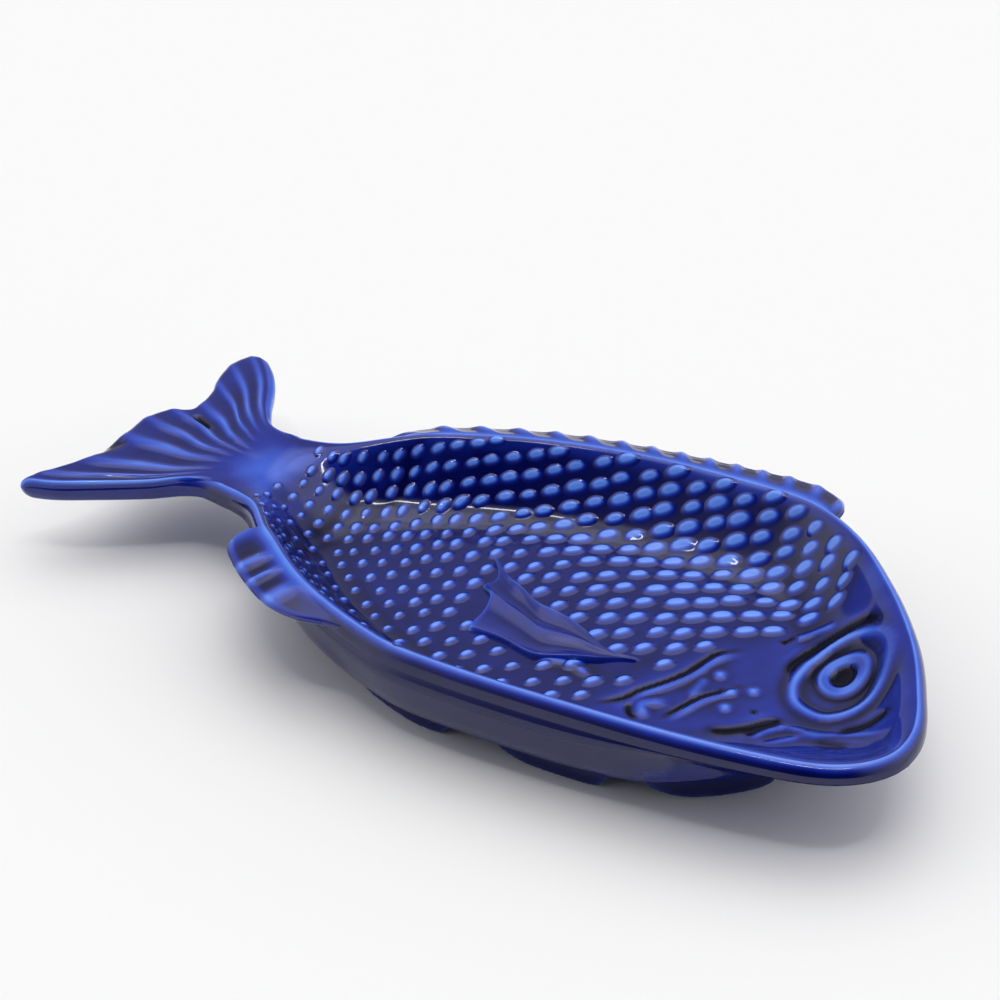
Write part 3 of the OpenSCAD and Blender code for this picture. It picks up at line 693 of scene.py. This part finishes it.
def build_fin(name, side, ends, width, shape, fade, turns, slant, rows):
    """A flange that runs out from the crest of the rim, with a smooth edge and ribs across it.

    turns lists the ribs as (place along the fin, number of the rib)."""
    s = np.linspace(0, 1, rows + 1)[:, None]
    x = mix(*ends, s)
    q = np.linspace(0, 1, FIN_STEPS + 1)[None, :]
    edge = mix(FIN_TUCK * LIP_RADIUS, LIP_RADIUS + width, curve(shape, s))
    reach = mix(-FIN_SEAT, edge, q)
    px, py = rim_edge(x, side, reach)
    whole = ease(0, fade[0], s) * (1 - ease(1 - fade[1], 1, s))
    share = np.clip(reach / LIP_RADIUS, 0, FIN_TUCK)
    lip = lip_drop(x) * (1 - np.sqrt(1 - share ** 2)) + FIN_SINK
    thick = FIN_THICKNESS * mix(1, FIN_EDGE, q * q)
    round_off = thick / 2 * (1 - edge_round(1 - q, FIN_ROUND))
    seat = FIN_SEAT * (1 - ease(0, FIN_SEAT_RUN, q))
    top = crest_z(x) - seat - mix(lip, FIN_DROOP * q * q, whole)
    upper = np.stack(np.broadcast_arrays(px, py, top - round_off), -1)
    lower = np.stack(np.broadcast_arrays(px, py, top - thick + round_off), -1)
    loops = np.concatenate([upper, lower[:, ::-1]], 1)
    n = loops.shape[1]
    k = np.arange(n // 2 - 1)
    first = np.stack([k, k + 1, n - 2 - k, n - 1 - k], -1)
    caps = np.r_[first[:, ::-1], rows * n + first]
    piece = make_mesh(name, loops.reshape(-1, 3), np.r_[loop_faces(rows + 1, n), caps])
    place_across = np.concatenate([q, q[:, ::-1]], 1)
    top_side = np.arange(n) <= FIN_STEPS
    turn = curve(turns, s) + slant * place_across
    gain = ease(*FIN_RIB_SPAN, place_across) * (1 - FIN_RIB_FADE * ease(*FIN_RIB_END, place_across))
    gain = gain * whole * top_side
    store(piece, "rib_place", turn)
    store(piece, "rib_gain", gain)
    edge_line = FIN_LINE_GLAZE * np.exp(-((place_across - FIN_LINE) / FIN_LINE_WIDTH) ** 2)
    # Near the rim the fin's top is bright as a painted reflection of the light overhead; the root follows
    # the rim's painted highlight and painted shade, and the lower side has painted shade
    flat = mix(CREST_GLAZE_AND_HIGHLIGHT, FIN_REST, ease(0, FIN_REST_START, place_across))
    thin = flat + FIN_GLAZE * gain * (rib_crest(turn, FIN_SHARPNESS) - FIN_HOLLOW) + edge_line
    rooted = lip_glaze_and_painted_light(np.arcsin(share) / (math.pi / 2))
    thin = mix(np.concatenate([rooted, rooted[:, ::-1]], 1), thin, whole)
    store(piece, "thin", np.clip(np.where(top_side, thin, OUTSIDE_GLAZE_AND_SHADE), 0, 1))
    return piece


# Pectoral fin

# Edges of the fin in plan, from its root to its end, and the heights of its folds
PECTORAL_UPPER = [
    (58, -10), (48, -13.5), (40, -12.5), (30, -10), (20, -8.5), (10, -8.5), (0, -5), (-8, -3), (-15, 1),
    (-20, 4),
]
PECTORAL_LOWER = [
    (57.5, -11.5), (52, -15), (47, -20), (40, -25), (31, -32), (25, -33.5), (15, -33), (8, -34), (1, -35.5),
]
PECTORAL_END = [
    (1, -35.5), (-1, -30), (-2, -25), (-4, -19), (-7, -14), (-12, -12), (-11, -6), (-14, -1), (-20, 4),
]
PECTORAL_STEPS = 100
PECTORAL_SINK = 0.6
PECTORAL_ROUND = 0.035
PECTORAL_ROOT = 0.35
PECTORAL_ROOT_LIFT = 0.8
EDGE_LINE = 0.03
EDGE_GLAZE = 0.5
PECTORAL_GLAZE = (0.25, 0.6)
PECTORAL_FOLDS = [(0, 2.2), (0.12, 1.3), (0.3, 0.8), (0.52, 1.9), (0.72, 0.8), (0.88, 1.6), (1, 2.8)]


def sheet_faces(n):
    """Quads of a square sheet of n by n points."""
    row, column = np.meshgrid(np.arange(n - 1), np.arange(n - 1), indexing="ij")
    a = row * n + column
    return np.stack([a, a + 1, a + n + 1, a + n], -1).reshape(-1, 4)


def build_pectoral():
    """The folded fin on the floor of the well."""
    even = np.linspace(0, 1, PECTORAL_STEPS + 1)
    t, j = np.meshgrid(even, even, indexing="ij")
    root = [PECTORAL_LOWER[0], PECTORAL_UPPER[0]]
    plan = span(root, PECTORAL_LOWER, PECTORAL_UPPER, PECTORAL_END, t, j)
    x, y = plan[..., 0], plan[..., 1]
    lift = mix(PECTORAL_ROOT_LIFT, curve(PECTORAL_FOLDS, j), ease(0, PECTORAL_ROOT, t))
    edge = np.minimum(np.minimum(t, 1 - t), np.minimum(j, 1 - j))
    lift = mix(-PECTORAL_SINK, lift, edge_round(edge, PECTORAL_ROUND))
    z = well_z(x, (y - middle_y(x)) / half_width(x)) + lift
    points = np.stack([x, y, z], -1).reshape(-1, 3)
    piece = make_mesh("pectoral_fin", points, sheet_faces(PECTORAL_STEPS + 1))
    line = np.exp(-(np.minimum(1 - j, 1 - t) / EDGE_LINE) ** 2)
    fold = curve(PECTORAL_FOLDS, j) / PECTORAL_FOLDS[-1][1]
    store(piece, "thin", np.clip(mix(*PECTORAL_GLAZE, fold) + EDGE_GLAZE * line, 0, 1))
    return piece


# Feet

FEET = [f"foot_{side}_{part}" for side in ("belly", "back") for part in ("rear", "middle", "front")]
FOOT_GRAIN = 0.5
FOOT_SOFTENING = 12


def build_foot(node):
    """A foot with its edges softened, made from the frame's solid."""
    piece = bpy.data.objects.new(node + "_soft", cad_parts[node].data.copy())
    bpy.context.scene.collection.objects.link(piece)
    remesh = piece.modifiers.new("even", "REMESH")
    remesh.voxel_size = FOOT_GRAIN * MM
    soften = piece.modifiers.new("soften", "SMOOTH")
    soften.iterations = FOOT_SOFTENING
    bake(piece)
    points = coordinates(piece.data)
    points[:, 2] = np.maximum(points[:, 2], 0)
    piece.data.vertices.foreach_set("co", (points * MM).ravel())
    piece.data.materials.clear()
    piece.data.shade_smooth()
    return piece


# Geometry node trees

def new_tree(name, sockets):
    """A geometry node tree with a geometry input and output, and the named inputs."""
    tree = bpy.data.node_groups.new(name, "GeometryNodeTree")
    tree.interface.new_socket("Geometry", in_out="INPUT", socket_type="NodeSocketGeometry")
    for label, kind in sockets:
        tree.interface.new_socket(label, in_out="INPUT", socket_type=kind)
    tree.interface.new_socket("Geometry", in_out="OUTPUT", socket_type="NodeSocketGeometry")
    return tree


def feed(tree, socket, value):
    """Sets a socket from another socket or from a plain value."""
    if isinstance(value, bpy.types.NodeSocket):
        tree.links.new(value, socket)
    else:
        socket.default_value = value


def add(tree, kind, inputs, **settings):
    """Adds a node with its settings and inputs, and returns its first output."""
    node = tree.nodes.new(kind)
    for name, value in settings.items():
        setattr(node, name, value)
    for key, value in inputs.items():
        feed(tree, node.inputs[key], value)
    return node.outputs[0]


def calc(tree, operation, a, b=0.0):
    return add(tree, "ShaderNodeMath", {0: a, 1: b}, operation=operation)


def attribute_node(tree, name):
    return add(tree, "GeometryNodeInputNamedAttribute", {"Name": name}, data_type="FLOAT")


def scaled(tree, vector, factor):
    return add(tree, "ShaderNodeVectorMath", {0: vector, "Scale": factor}, operation="SCALE")


def dot(tree, a, b):
    product = add(tree, "ShaderNodeVectorMath", {0: a, 1: b}, operation="DOT_PRODUCT")
    return product.node.outputs["Value"]


def step(tree, value, edge):
    """Smooth step from 0 to 1 between two values."""
    return add(tree, "ShaderNodeMapRange", {"Value": value, "From Min": edge[0], "From Max": edge[1]},
               interpolation_type="SMOOTHSTEP")


def run_tree(piece, tree, values):
    """Runs a tree on a piece with the given inputs and keeps the result as a plain mesh."""
    modifier = piece.modifiers.new(tree.name, "NODES")
    modifier.node_group = tree
    for item in tree.interface.items_tree:
        if item.in_out == "INPUT" and item.name in values:
            modifier[item.identifier] = values[item.name]
    bake(piece)


# Part of a rib's height that lies under the smooth skin
RIB_LEVEL = 0.5


def rib_tree():
    """Raises ribs along the attribute rib_place, as far as rib_gain allows."""
    tree = new_tree("ribs", [
        ("Ribs", "NodeSocketFloat"), ("Rib Height", "NodeSocketFloat"), ("Sharpness", "NodeSocketFloat"),
        ("Material", "NodeSocketMaterial"),
    ])
    group = tree.nodes.new("NodeGroupInput").outputs
    turns = calc(tree, "MULTIPLY", attribute_node(tree, "rib_place"), group["Ribs"])
    wave = calc(tree, "COSINE", calc(tree, "MULTIPLY", turns, 2 * math.pi))
    unit = add(tree, "ShaderNodeMath", {0: wave, 1: 0.5, 2: 0.5}, operation="MULTIPLY_ADD")
    crest = calc(tree, "POWER", unit, group["Sharpness"])
    height = calc(tree, "MULTIPLY", calc(tree, "SUBTRACT", crest, RIB_LEVEL), group["Rib Height"])
    lift = calc(tree, "MULTIPLY", height, attribute_node(tree, "rib_gain"))
    normal = tree.nodes.new("GeometryNodeInputNormal").outputs[0]
    moved = add(tree, "GeometryNodeSetPosition", {
        "Geometry": group["Geometry"], "Offset": scaled(tree, normal, lift)})
    painted = add(tree, "GeometryNodeSetMaterial", {"Geometry": moved, "Material": group["Material"]})
    tree.links.new(painted, tree.nodes.new("NodeGroupOutput").inputs[0])
    return tree


def scale_tree():
    """Sets a raised scale on every point, and moulds it to the dish under it."""
    tree = new_tree("scales", [
        ("Dish", "NodeSocketObject"), ("Scale Length", "NodeSocketFloat"),
        ("Scale Width", "NodeSocketFloat"), ("Scale Height", "NodeSocketFloat"),
        ("Lean", "NodeSocketFloat"), ("Sink", "NodeSocketFloat"), ("Steps", "NodeSocketInt"),
        ("Material", "NodeSocketMaterial"),
    ])
    group = tree.nodes.new("NodeGroupInput").outputs
    dish_info = tree.nodes.new("GeometryNodeObjectInfo")
    tree.links.new(group["Dish"], dish_info.inputs["Object"])
    dish = dish_info.outputs["Geometry"]
    position = tree.nodes.new("GeometryNodeInputPosition").outputs[0]
    face_normal = tree.nodes.new("GeometryNodeInputNormal").outputs[0]
    normal = add(tree, "GeometryNodeFieldOnDomain", {0: face_normal}, data_type="FLOAT_VECTOR",
                 domain="POINT")

    sheet = add(tree, "GeometryNodeMeshGrid", {
        "Size X": 2.0, "Size Y": 2.0, "Vertices X": group["Steps"], "Vertices Y": group["Steps"]})
    split = tree.nodes.new("ShaderNodeSeparateXYZ")
    tree.links.new(position, split.inputs[0])
    x, y = split.outputs[0], split.outputs[1]

    def rounded(a, b):
        half_square = calc(tree, "MULTIPLY", calc(tree, "MULTIPLY", b, b), 0.5)
        return calc(tree, "MULTIPLY", a, calc(tree, "SQRT", calc(tree, "SUBTRACT", 1.0, half_square)))

    disc = add(tree, "GeometryNodeSetPosition", {
        "Geometry": sheet,
        "Position": add(tree, "ShaderNodeCombineXYZ", {0: rounded(x, y), 1: rounded(y, x)})})
    square = calc(tree, "ADD", calc(tree, "MULTIPLY", x, x), calc(tree, "MULTIPLY", y, y))
    swell = step(tree, square, (1.0, 0.0))
    lean = calc(tree, "SUBTRACT", 1.0, calc(tree, "MULTIPLY", x, group["Lean"]))
    profile = calc(tree, "MULTIPLY", swell, lean)
    disc = add(tree, "GeometryNodeStoreNamedAttribute", {
        "Geometry": disc, "Name": "profile", "Value": profile}, data_type="FLOAT", domain="POINT")

    def sampled(value, at):
        node = tree.nodes.new("GeometryNodeSampleNearestSurface")
        node.data_type = "FLOAT_VECTOR"
        tree.links.new(dish, node.inputs["Mesh"])
        tree.links.new(value, node.inputs["Value"])
        tree.links.new(at, node.inputs["Sample Position"])
        return node.outputs["Value"]

    upright = add(tree, "FunctionNodeAlignRotationToVector", {
        "Vector": sampled(normal, position)}, axis="Z")
    tilt = add(tree, "FunctionNodeAxisAngleToRotation", {
        "Axis": (0, 0, 1), "Angle": attribute_node(tree, "tilt")})
    turn = add(tree, "FunctionNodeRotateRotation", {0: upright, 1: tilt}, rotation_space="LOCAL")
    size = attribute_node(tree, "size")
    reach = add(tree, "ShaderNodeCombineXYZ", {
        0: calc(tree, "MULTIPLY", group["Scale Length"], size),
        1: calc(tree, "MULTIPLY", group["Scale Width"], size), 2: 1.0})
    laid = add(tree, "GeometryNodeInstanceOnPoints", {
        "Points": group["Geometry"], "Instance": disc, "Rotation": turn, "Scale": reach})
    real = add(tree, "GeometryNodeRealizeInstances", {"Geometry": laid})
    raised = calc(tree, "MULTIPLY", attribute_node(tree, "profile"), group["Scale Height"])
    height = calc(tree, "SUBTRACT", raised, group["Sink"])
    lift = scaled(tree, sampled(normal, position), height)
    seat = add(tree, "ShaderNodeVectorMath", {0: sampled(position, position), 1: lift}, operation="ADD")
    moulded = add(tree, "GeometryNodeSetPosition", {"Geometry": real, "Position": seat})
    painted = add(tree, "GeometryNodeSetMaterial", {"Geometry": moulded, "Material": group["Material"]})
    tree.links.new(painted, tree.nodes.new("NodeGroupOutput").inputs[0])
    return tree


# Scales

# One scale: half its length and width and its height in millimetres, and its lean to the tail
SCALE_LENGTH = 3.9
SCALE_WIDTH = 5.6
SCALE_HEIGHT = 0.5
SCALE_LEAN = 1.1
SCALE_SINK = 0.03
SCALE_STEPS = 15
# Columns of scales: their pitch at the tail and the head, and the step along them
SCALE_PITCH = (5.9, 9.2)
SCALE_STEP = 9.7
COLUMN_HALF = 14
COLUMN_POINTS = 401
SCALE_MARGIN = 2
# Length of the back's wall along a column, and how much closer its scales stand
BACK_WALL = 45
WALL_CROWDING = 0.78
SCALE_GROW = (-90, 45)
COLUMN_LEAN = 0.26
# Size and turn of the scales by place, in shares and degrees
SCALE_SIZE = (0.64, 1.0)
BELLY_SIZE = 0.72
BELLY_GROW = (-48, 0)
SCALE_TILT = (-10, 22)
TILT_TURN = (-60, 40)
WALL_TILT = 45
WALL_TURN = (5, 35)
# Thinness of the glaze on a scale, with painted light that brightens the scales up the back's wall, and how
# far a hand would stray
SCALE_GLAZE = 0.48
WALL_PAINTED_LIGHT = 0.2
SCALE_CONTRAST = 2.2
SCALE_DRIFT = 0.45
SIZE_DRIFT = 0.06
PECTORAL_CLEAR = 1.1
SIDE_POINTS = 12
END_POINTS = 8
HAND = np.random.default_rng(4)


def scale_growth(x):
    return ease(*SCALE_GROW, x)


def inside(outline, p):
    """True where a plan point lies inside a closed outline."""
    hit = False
    for a, b in zip(outline, np.roll(outline, -1, 0)):
        if (a[1] > p[1]) != (b[1] > p[1]) and p[0] < mix(a[0], b[0], (p[1] - a[1]) / (b[1] - a[1])):
            hit = not hit
    return hit


def scale_centres():
    """Places of the scales: steps along leaning columns, every other column half a step along."""
    lower = path(PECTORAL_LOWER, np.linspace(0, 1, SIDE_POINTS))
    end = path(PECTORAL_END, np.linspace(0, 1, END_POINTS))
    upper = path(PECTORAL_UPPER, np.linspace(1, 0, SIDE_POINTS))
    outline = np.concatenate([lower, end, upper])
    bare = mix(outline.mean(0), outline, PECTORAL_CLEAR)
    v = np.linspace(-1, 1, COLUMN_POINTS)
    found = []
    middle, column = SCALE_START, 0
    while middle < HEAD_LINE[-1][1] + COLUMN_LEAN * BACK_WIDTH:
        x = np.clip(middle - COLUMN_LEAN * v * half_width(middle), SCALE_START, NOSE_X)
        line = np.stack([x, middle_y(x) + v * half_width(x), well_z(x, v)], -1)
        arc = np.r_[0, np.cumsum(np.linalg.norm(np.diff(line, axis=0), axis=1))]
        count = np.arange(-COLUMN_HALF, COLUMN_HALF + 1) + (column % 2) / 2
        steps = arc[-1] / 2 + SCALE_STEP * count
        up_wall = np.maximum(steps - arc[-1] + BACK_WALL, 0)
        steps -= (1 - WALL_CROWDING) * up_wall
        for a in steps[(steps > SCALE_MARGIN) & (steps < arc[-1] - SCALE_MARGIN)]:
            p = [np.interp(a, arc, line[:, k]) for k in range(3)]
            if SCALE_START < p[0] < curve(HEAD_LINE, p[1]) and not inside(bare, p):
                found.append(p)
        middle += mix(*SCALE_PITCH, scale_growth(middle))
        column += 1
    return np.array(found) + SCALE_DRIFT * HAND.standard_normal((len(found), 3)) * (1, 1, 0)


def build_scales(dish, material):
    """The scales: one point for each, on which the node tree raises it."""
    centres = scale_centres()
    piece = make_mesh("scales_set", centres, np.empty((0, 4), int))
    x, y, _ = centres.T
    drift = 1 + SIZE_DRIFT * HAND.standard_normal(len(x))
    size = mix(*SCALE_SIZE, scale_growth(x)) * mix(BELLY_SIZE, 1, ease(*BELLY_GROW, y))
    store(piece, "size", size * drift)
    tilt = mix(mix(*SCALE_TILT, ease(*TILT_TURN, x)), WALL_TILT, ease(*WALL_TURN, y))
    store(piece, "tilt", -np.radians(tilt))
    run_tree(piece, scale_tree(), {
        "Dish": dish, "Scale Length": SCALE_LENGTH * MM, "Scale Width": SCALE_WIDTH * MM,
        "Scale Height": SCALE_HEIGHT * MM, "Lean": SCALE_LEAN, "Sink": SCALE_SINK * MM,
        "Steps": SCALE_STEPS, "Material": material})
    mesh = piece.data
    mesh.shade_smooth()
    profile = np.empty(len(mesh.vertices), np.float32)
    mesh.attributes["profile"].data.foreach_get("value", profile)
    # Painted light: the scales up the back's wall are made brighter
    lit = SCALE_GLAZE + WALL_PAINTED_LIGHT * ease(*WALL_TURN, coordinates(mesh)[:, 1])
    thin = GLAZE_REST - SCALE_POOL + lit * profile ** SCALE_CONTRAST
    store(piece, "thin", np.clip(thin, 0, 1))
    return piece


# Materials

COBALT = [
    (0.0, (0.001, 0.001, 0.010)), (0.3, (0.002, 0.004, 0.085)), (0.5, (0.008, 0.022, 0.29)),
    (0.75, (0.035, 0.10, 0.60)), (1.0, (0.14, 0.31, 0.95)),
]
# The feet's glaze is the cobalt darkened as painted shade, for the shade under the dish
FOOT_PAINTED_SHADE = 0.35
FOOT_SHADED_GLAZE = [(at, tuple(FOOT_PAINTED_SHADE * c for c in colour)) for at, colour in COBALT]
GLAZE_ROUGHNESS = 0.07
FOOT_ROUGHNESS = 0.2
GLAZE_IOR = 1.5
CLOUD_SCALE = 90
CLOUD_DETAIL = 3
CLOUD_SWING = 0.16
# Deep pools lie in the shade of their banks and mirror less of the room
POOL_SHADE = (0.0, 0.25)
POOL_GLOSS = 0.1
FULL_GLOSS = 0.5


def set_stops(ramp, stops):
    """Gives a colour ramp its stops as (place, colour)."""
    while len(ramp.elements) < len(stops):
        ramp.elements.new(0.5)
    for element, (at, colour) in zip(ramp.elements, stops):
        element.position = at
        element.color = (*colour, 1)


def glaze_material(name, stops, roughness):
    """Cobalt glaze: its colour follows how thin it lies, as held in the attribute thin with its painted
    highlight and painted shade, with a little unevenness from the kiln.
    """
    material = bpy.data.materials.new(name)
    material.use_nodes = True
    tree = material.node_tree
    shader = tree.nodes["Principled BSDF"]
    shader.inputs["Roughness"].default_value = roughness
    shader.inputs["IOR"].default_value = GLAZE_IOR
    thin = tree.nodes.new("ShaderNodeAttribute")
    thin.attribute_name = "thin"
    place = tree.nodes.new("ShaderNodeTexCoord").outputs["Object"]
    cloud = add(tree, "ShaderNodeTexNoise", {"Vector": place, "Scale": CLOUD_SCALE, "Detail": CLOUD_DETAIL})
    drift = calc(tree, "MULTIPLY", calc(tree, "SUBTRACT", cloud, 0.5), CLOUD_SWING)
    total = calc(tree, "ADD", thin.outputs["Fac"], drift)
    colour = add(tree, "ShaderNodeValToRGB", {"Fac": total})
    set_stops(colour.node.color_ramp, stops)
    shine = step(tree, total, POOL_SHADE)
    gloss = add(tree, "ShaderNodeMix", {0: shine, 2: POOL_GLOSS, 3: FULL_GLOSS}, data_type="FLOAT")
    tree.links.new(gloss, shader.inputs["Specular IOR Level"])
    tree.links.new(colour, shader.inputs["Base Color"])
    return material


def finish_piece(piece, material, slot, *nodes):
    """Gives a piece its material, hangs it on the root body and hides the frame's nodes that it dresses."""
    piece.data.materials.clear()
    piece.data.materials.append(material)
    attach(piece, "root")
    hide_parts(*nodes)


JOINT_DIGITS = 2
JOINT_REACH = 0.02


def join_shading(a, b):
    """Gives two skins that share an edge the same normals along it."""
    parts = [(piece, coordinates(piece.data), vertex_normals(piece.data)) for piece in (a, b)]
    lookup = {}
    for _, points, normals in parts:
        for key, normal in zip(map(tuple, np.round(points, JOINT_DIGITS)), normals):
            if abs(key[0] - JOINT_X) < JOINT_REACH:
                lookup[key] = lookup.get(key, 0) + normal
    for piece, points, normals in parts:
        for i, key in enumerate(map(tuple, np.round(points, JOINT_DIGITS))):
            if key in lookup:
                normals[i] = lookup[key] / np.linalg.norm(lookup[key])
        piece.data.normals_split_custom_set_from_vertices(normals.tolist())


def build_platter():
    """All pieces of the platter, with their materials and the nodes that they dress."""
    cobalt = glaze_material("cobalt_glaze", COBALT, GLAZE_ROUGHNESS)
    dark = glaze_material("foot_glaze", FOOT_SHADED_GLAZE, FOOT_ROUGHNESS)
    dish, pool = build_dish()
    tail = build_tail(glaze_dish(dish, pool))
    dorsal = build_fin("dorsal_fin_ribbed", 1, DORSAL, DORSAL_WIDTH, DORSAL_SHAPE, DORSAL_FADE,
                       DORSAL_TURNS, DORSAL_SLANT, DORSAL_ROWS)
    anal = build_fin("anal_fin_ribbed", -1, ANAL, ANAL_WIDTH, ANAL_SHAPE, ANAL_FADE, ANAL_TURNS,
                     ANAL_SLANT, ANAL_ROWS)
    ribs = rib_tree()
    for piece, turns, height, sharpness in (
        (tail, TAIL_RIBS, TAIL_RIB_HEIGHT, TAIL_SHARPNESS),
        (dorsal, 1.0, DORSAL_RIB_HEIGHT, FIN_SHARPNESS),
        (anal, 1.0, ANAL_RIB_HEIGHT, FIN_SHARPNESS),
    ):
        run_tree(piece, ribs, {
            "Ribs": turns, "Rib Height": height * MM, "Sharpness": sharpness, "Material": cobalt})
    pectoral = build_pectoral()
    scales = build_scales(dish, cobalt)
    for piece in (tail, dorsal, anal, pectoral):
        piece.data.shade_smooth()
    join_shading(dish, tail)
    finish_piece(dish, cobalt, "cobalt_glaze", "dish_body", "gill_cover", "brow_ridge", "eye_socket",
                 "eye_ring", "mouth_lips")
    finish_piece(tail, cobalt, "cobalt_glaze", "tail_fin")
    finish_piece(dorsal, cobalt, "cobalt_glaze", "dorsal_fin")
    finish_piece(anal, cobalt, "cobalt_glaze", "anal_fin")
    finish_piece(pectoral, cobalt, "cobalt_glaze", "pectoral_fin")
    finish_piece(scales, cobalt, "cobalt_glaze", "scales")
    for node in FEET:
        foot = build_foot(node)
        store(foot, "thin", np.clip(raised_glaze(foot.data), 0, 1))
        finish_piece(foot, dark, "foot_glaze", node)


# Stage

CAMERA_PLACE = (0.4650, -0.5708, 0.5490)
CAMERA_AZIMUTH = 40
CAMERA_ELEVATION = 33.96
CAMERA_LENS = 91.1
SENSOR_WIDTH = 36


def build_camera():
    """The camera at the photograph's place."""
    data = bpy.data.cameras.new("camera")
    data.lens = CAMERA_LENS
    data.sensor_width = SENSOR_WIDTH
    camera = bpy.data.objects.new("camera", data)
    camera.location = CAMERA_PLACE
    camera.rotation_euler = (math.radians(90 - CAMERA_ELEVATION), 0, math.radians(CAMERA_AZIMUTH))
    bpy.context.scene.collection.objects.link(camera)
    bpy.context.scene.camera = camera


FLOOR_REACH = 40
FLOOR_WHITE = 0.87
FLOOR_ROUGHNESS = 0.9


def build_floor():
    """A wide sheet of plain pale paper."""
    mesh = bpy.data.meshes.new("floor")
    corners = [(FLOOR_REACH * x, FLOOR_REACH * y, 0) for x, y in ((-1, -1), (1, -1), (1, 1), (-1, 1))]
    mesh.from_pydata(corners, [], [(0, 1, 2, 3)])
    floor = bpy.data.objects.new("floor", mesh)
    bpy.context.scene.collection.objects.link(floor)
    material = bpy.data.materials.new("paper")
    material.use_nodes = True
    shader = material.node_tree.nodes["Principled BSDF"]
    shader.inputs["Base Color"].default_value = (FLOOR_WHITE, FLOOR_WHITE, FLOOR_WHITE, 1)
    shader.inputs["Roughness"].default_value = FLOOR_ROUGHNESS
    shader.inputs["Specular IOR Level"].default_value = 0
    mesh.materials.append(material)


# Strengths of the light by direction, with the cosines between which each part fades
LIGHT_TILT = 12
LIGHT_AZIMUTH = 115
OVERHEAD = 1.5
OVERHEAD_EDGE = (0.76, 0.88)
ZENITH = 2.3
ZENITH_EDGE = (0.93, 0.97)
WALL = 0.45
SIDES = 0.8
DARK_AZIMUTH = -65
DARK_HALF = (0.5, 0.85)
STRIP = 30
STRIP_HEIGHT = 0.945
STRIP_WIDTH = 0.004
STRIP_HALF = (0.5, 0.7)


def facing(tree, flat, azimuth):
    """Cosine of the angle between a level direction and an azimuth."""
    angle = math.radians(azimuth)
    ahead = (math.cos(angle), math.sin(angle), 0)
    return dot(tree, flat, ahead)


def sector(tree, flat, azimuth, edge):
    """1 in the directions round an azimuth, 0 elsewhere."""
    return step(tree, facing(tree, flat, azimuth), edge)


def build_light():
    """A white room with a broad light overhead and bright sides, dark behind the camera."""
    world = bpy.data.worlds.new("studio")
    bpy.context.scene.world = world
    world.use_nodes = True
    tree = world.node_tree
    toward = tree.nodes.new("ShaderNodeTexCoord").outputs["Generated"]
    split = tree.nodes.new("ShaderNodeSeparateXYZ")
    tree.links.new(toward, split.inputs[0])
    level = add(tree, "ShaderNodeCombineXYZ", {0: split.outputs[0], 1: split.outputs[1]})
    flat = add(tree, "ShaderNodeVectorMath", {0: level}, operation="NORMALIZE")
    dark = sector(tree, flat, DARK_AZIMUTH, DARK_HALF)
    across = calc(tree, "SUBTRACT", 1.0, calc(tree, "POWER", facing(tree, flat, CAMERA_AZIMUTH - 90), 2.0))
    wall = calc(tree, "MULTIPLY", calc(tree, "SUBTRACT", 1.0, dark), WALL)
    sides = calc(tree, "MULTIPLY", calc(tree, "POWER", across, 2.0), SIDES)
    wall = calc(tree, "ADD", wall, sides)
    tilt, turn = math.radians(LIGHT_TILT), math.radians(LIGHT_AZIMUTH)
    axis = (math.sin(tilt) * math.cos(turn), math.sin(tilt) * math.sin(turn), math.cos(tilt))
    height = dot(tree, toward, axis)
    above = step(tree, height, OVERHEAD_EDGE)
    strength = add(tree, "ShaderNodeMix", {0: above, 2: wall, 3: OVERHEAD}, data_type="FLOAT")
    zenith = step(tree, height, ZENITH_EDGE)
    strength = add(tree, "ShaderNodeMix", {0: zenith, 2: strength, 3: ZENITH}, data_type="FLOAT")
    off_strip = calc(tree, "ABSOLUTE", calc(tree, "SUBTRACT", split.outputs[2], STRIP_HEIGHT))
    strip = calc(tree, "MULTIPLY", calc(tree, "LESS_THAN", off_strip, STRIP_WIDTH),
                 sector(tree, flat, CAMERA_AZIMUTH - 90, STRIP_HALF))
    strength = calc(tree, "ADD", strength, calc(tree, "MULTIPLY", strip, STRIP))
    tree.links.new(strength, tree.nodes["Background"].inputs["Strength"])
    tree.nodes["Background"].inputs["Color"].default_value = (1, 1, 1, 1)


build_platter()
build_camera()
build_floor()
build_light()
bpy.context.scene.view_settings.view_transform = "Standard"
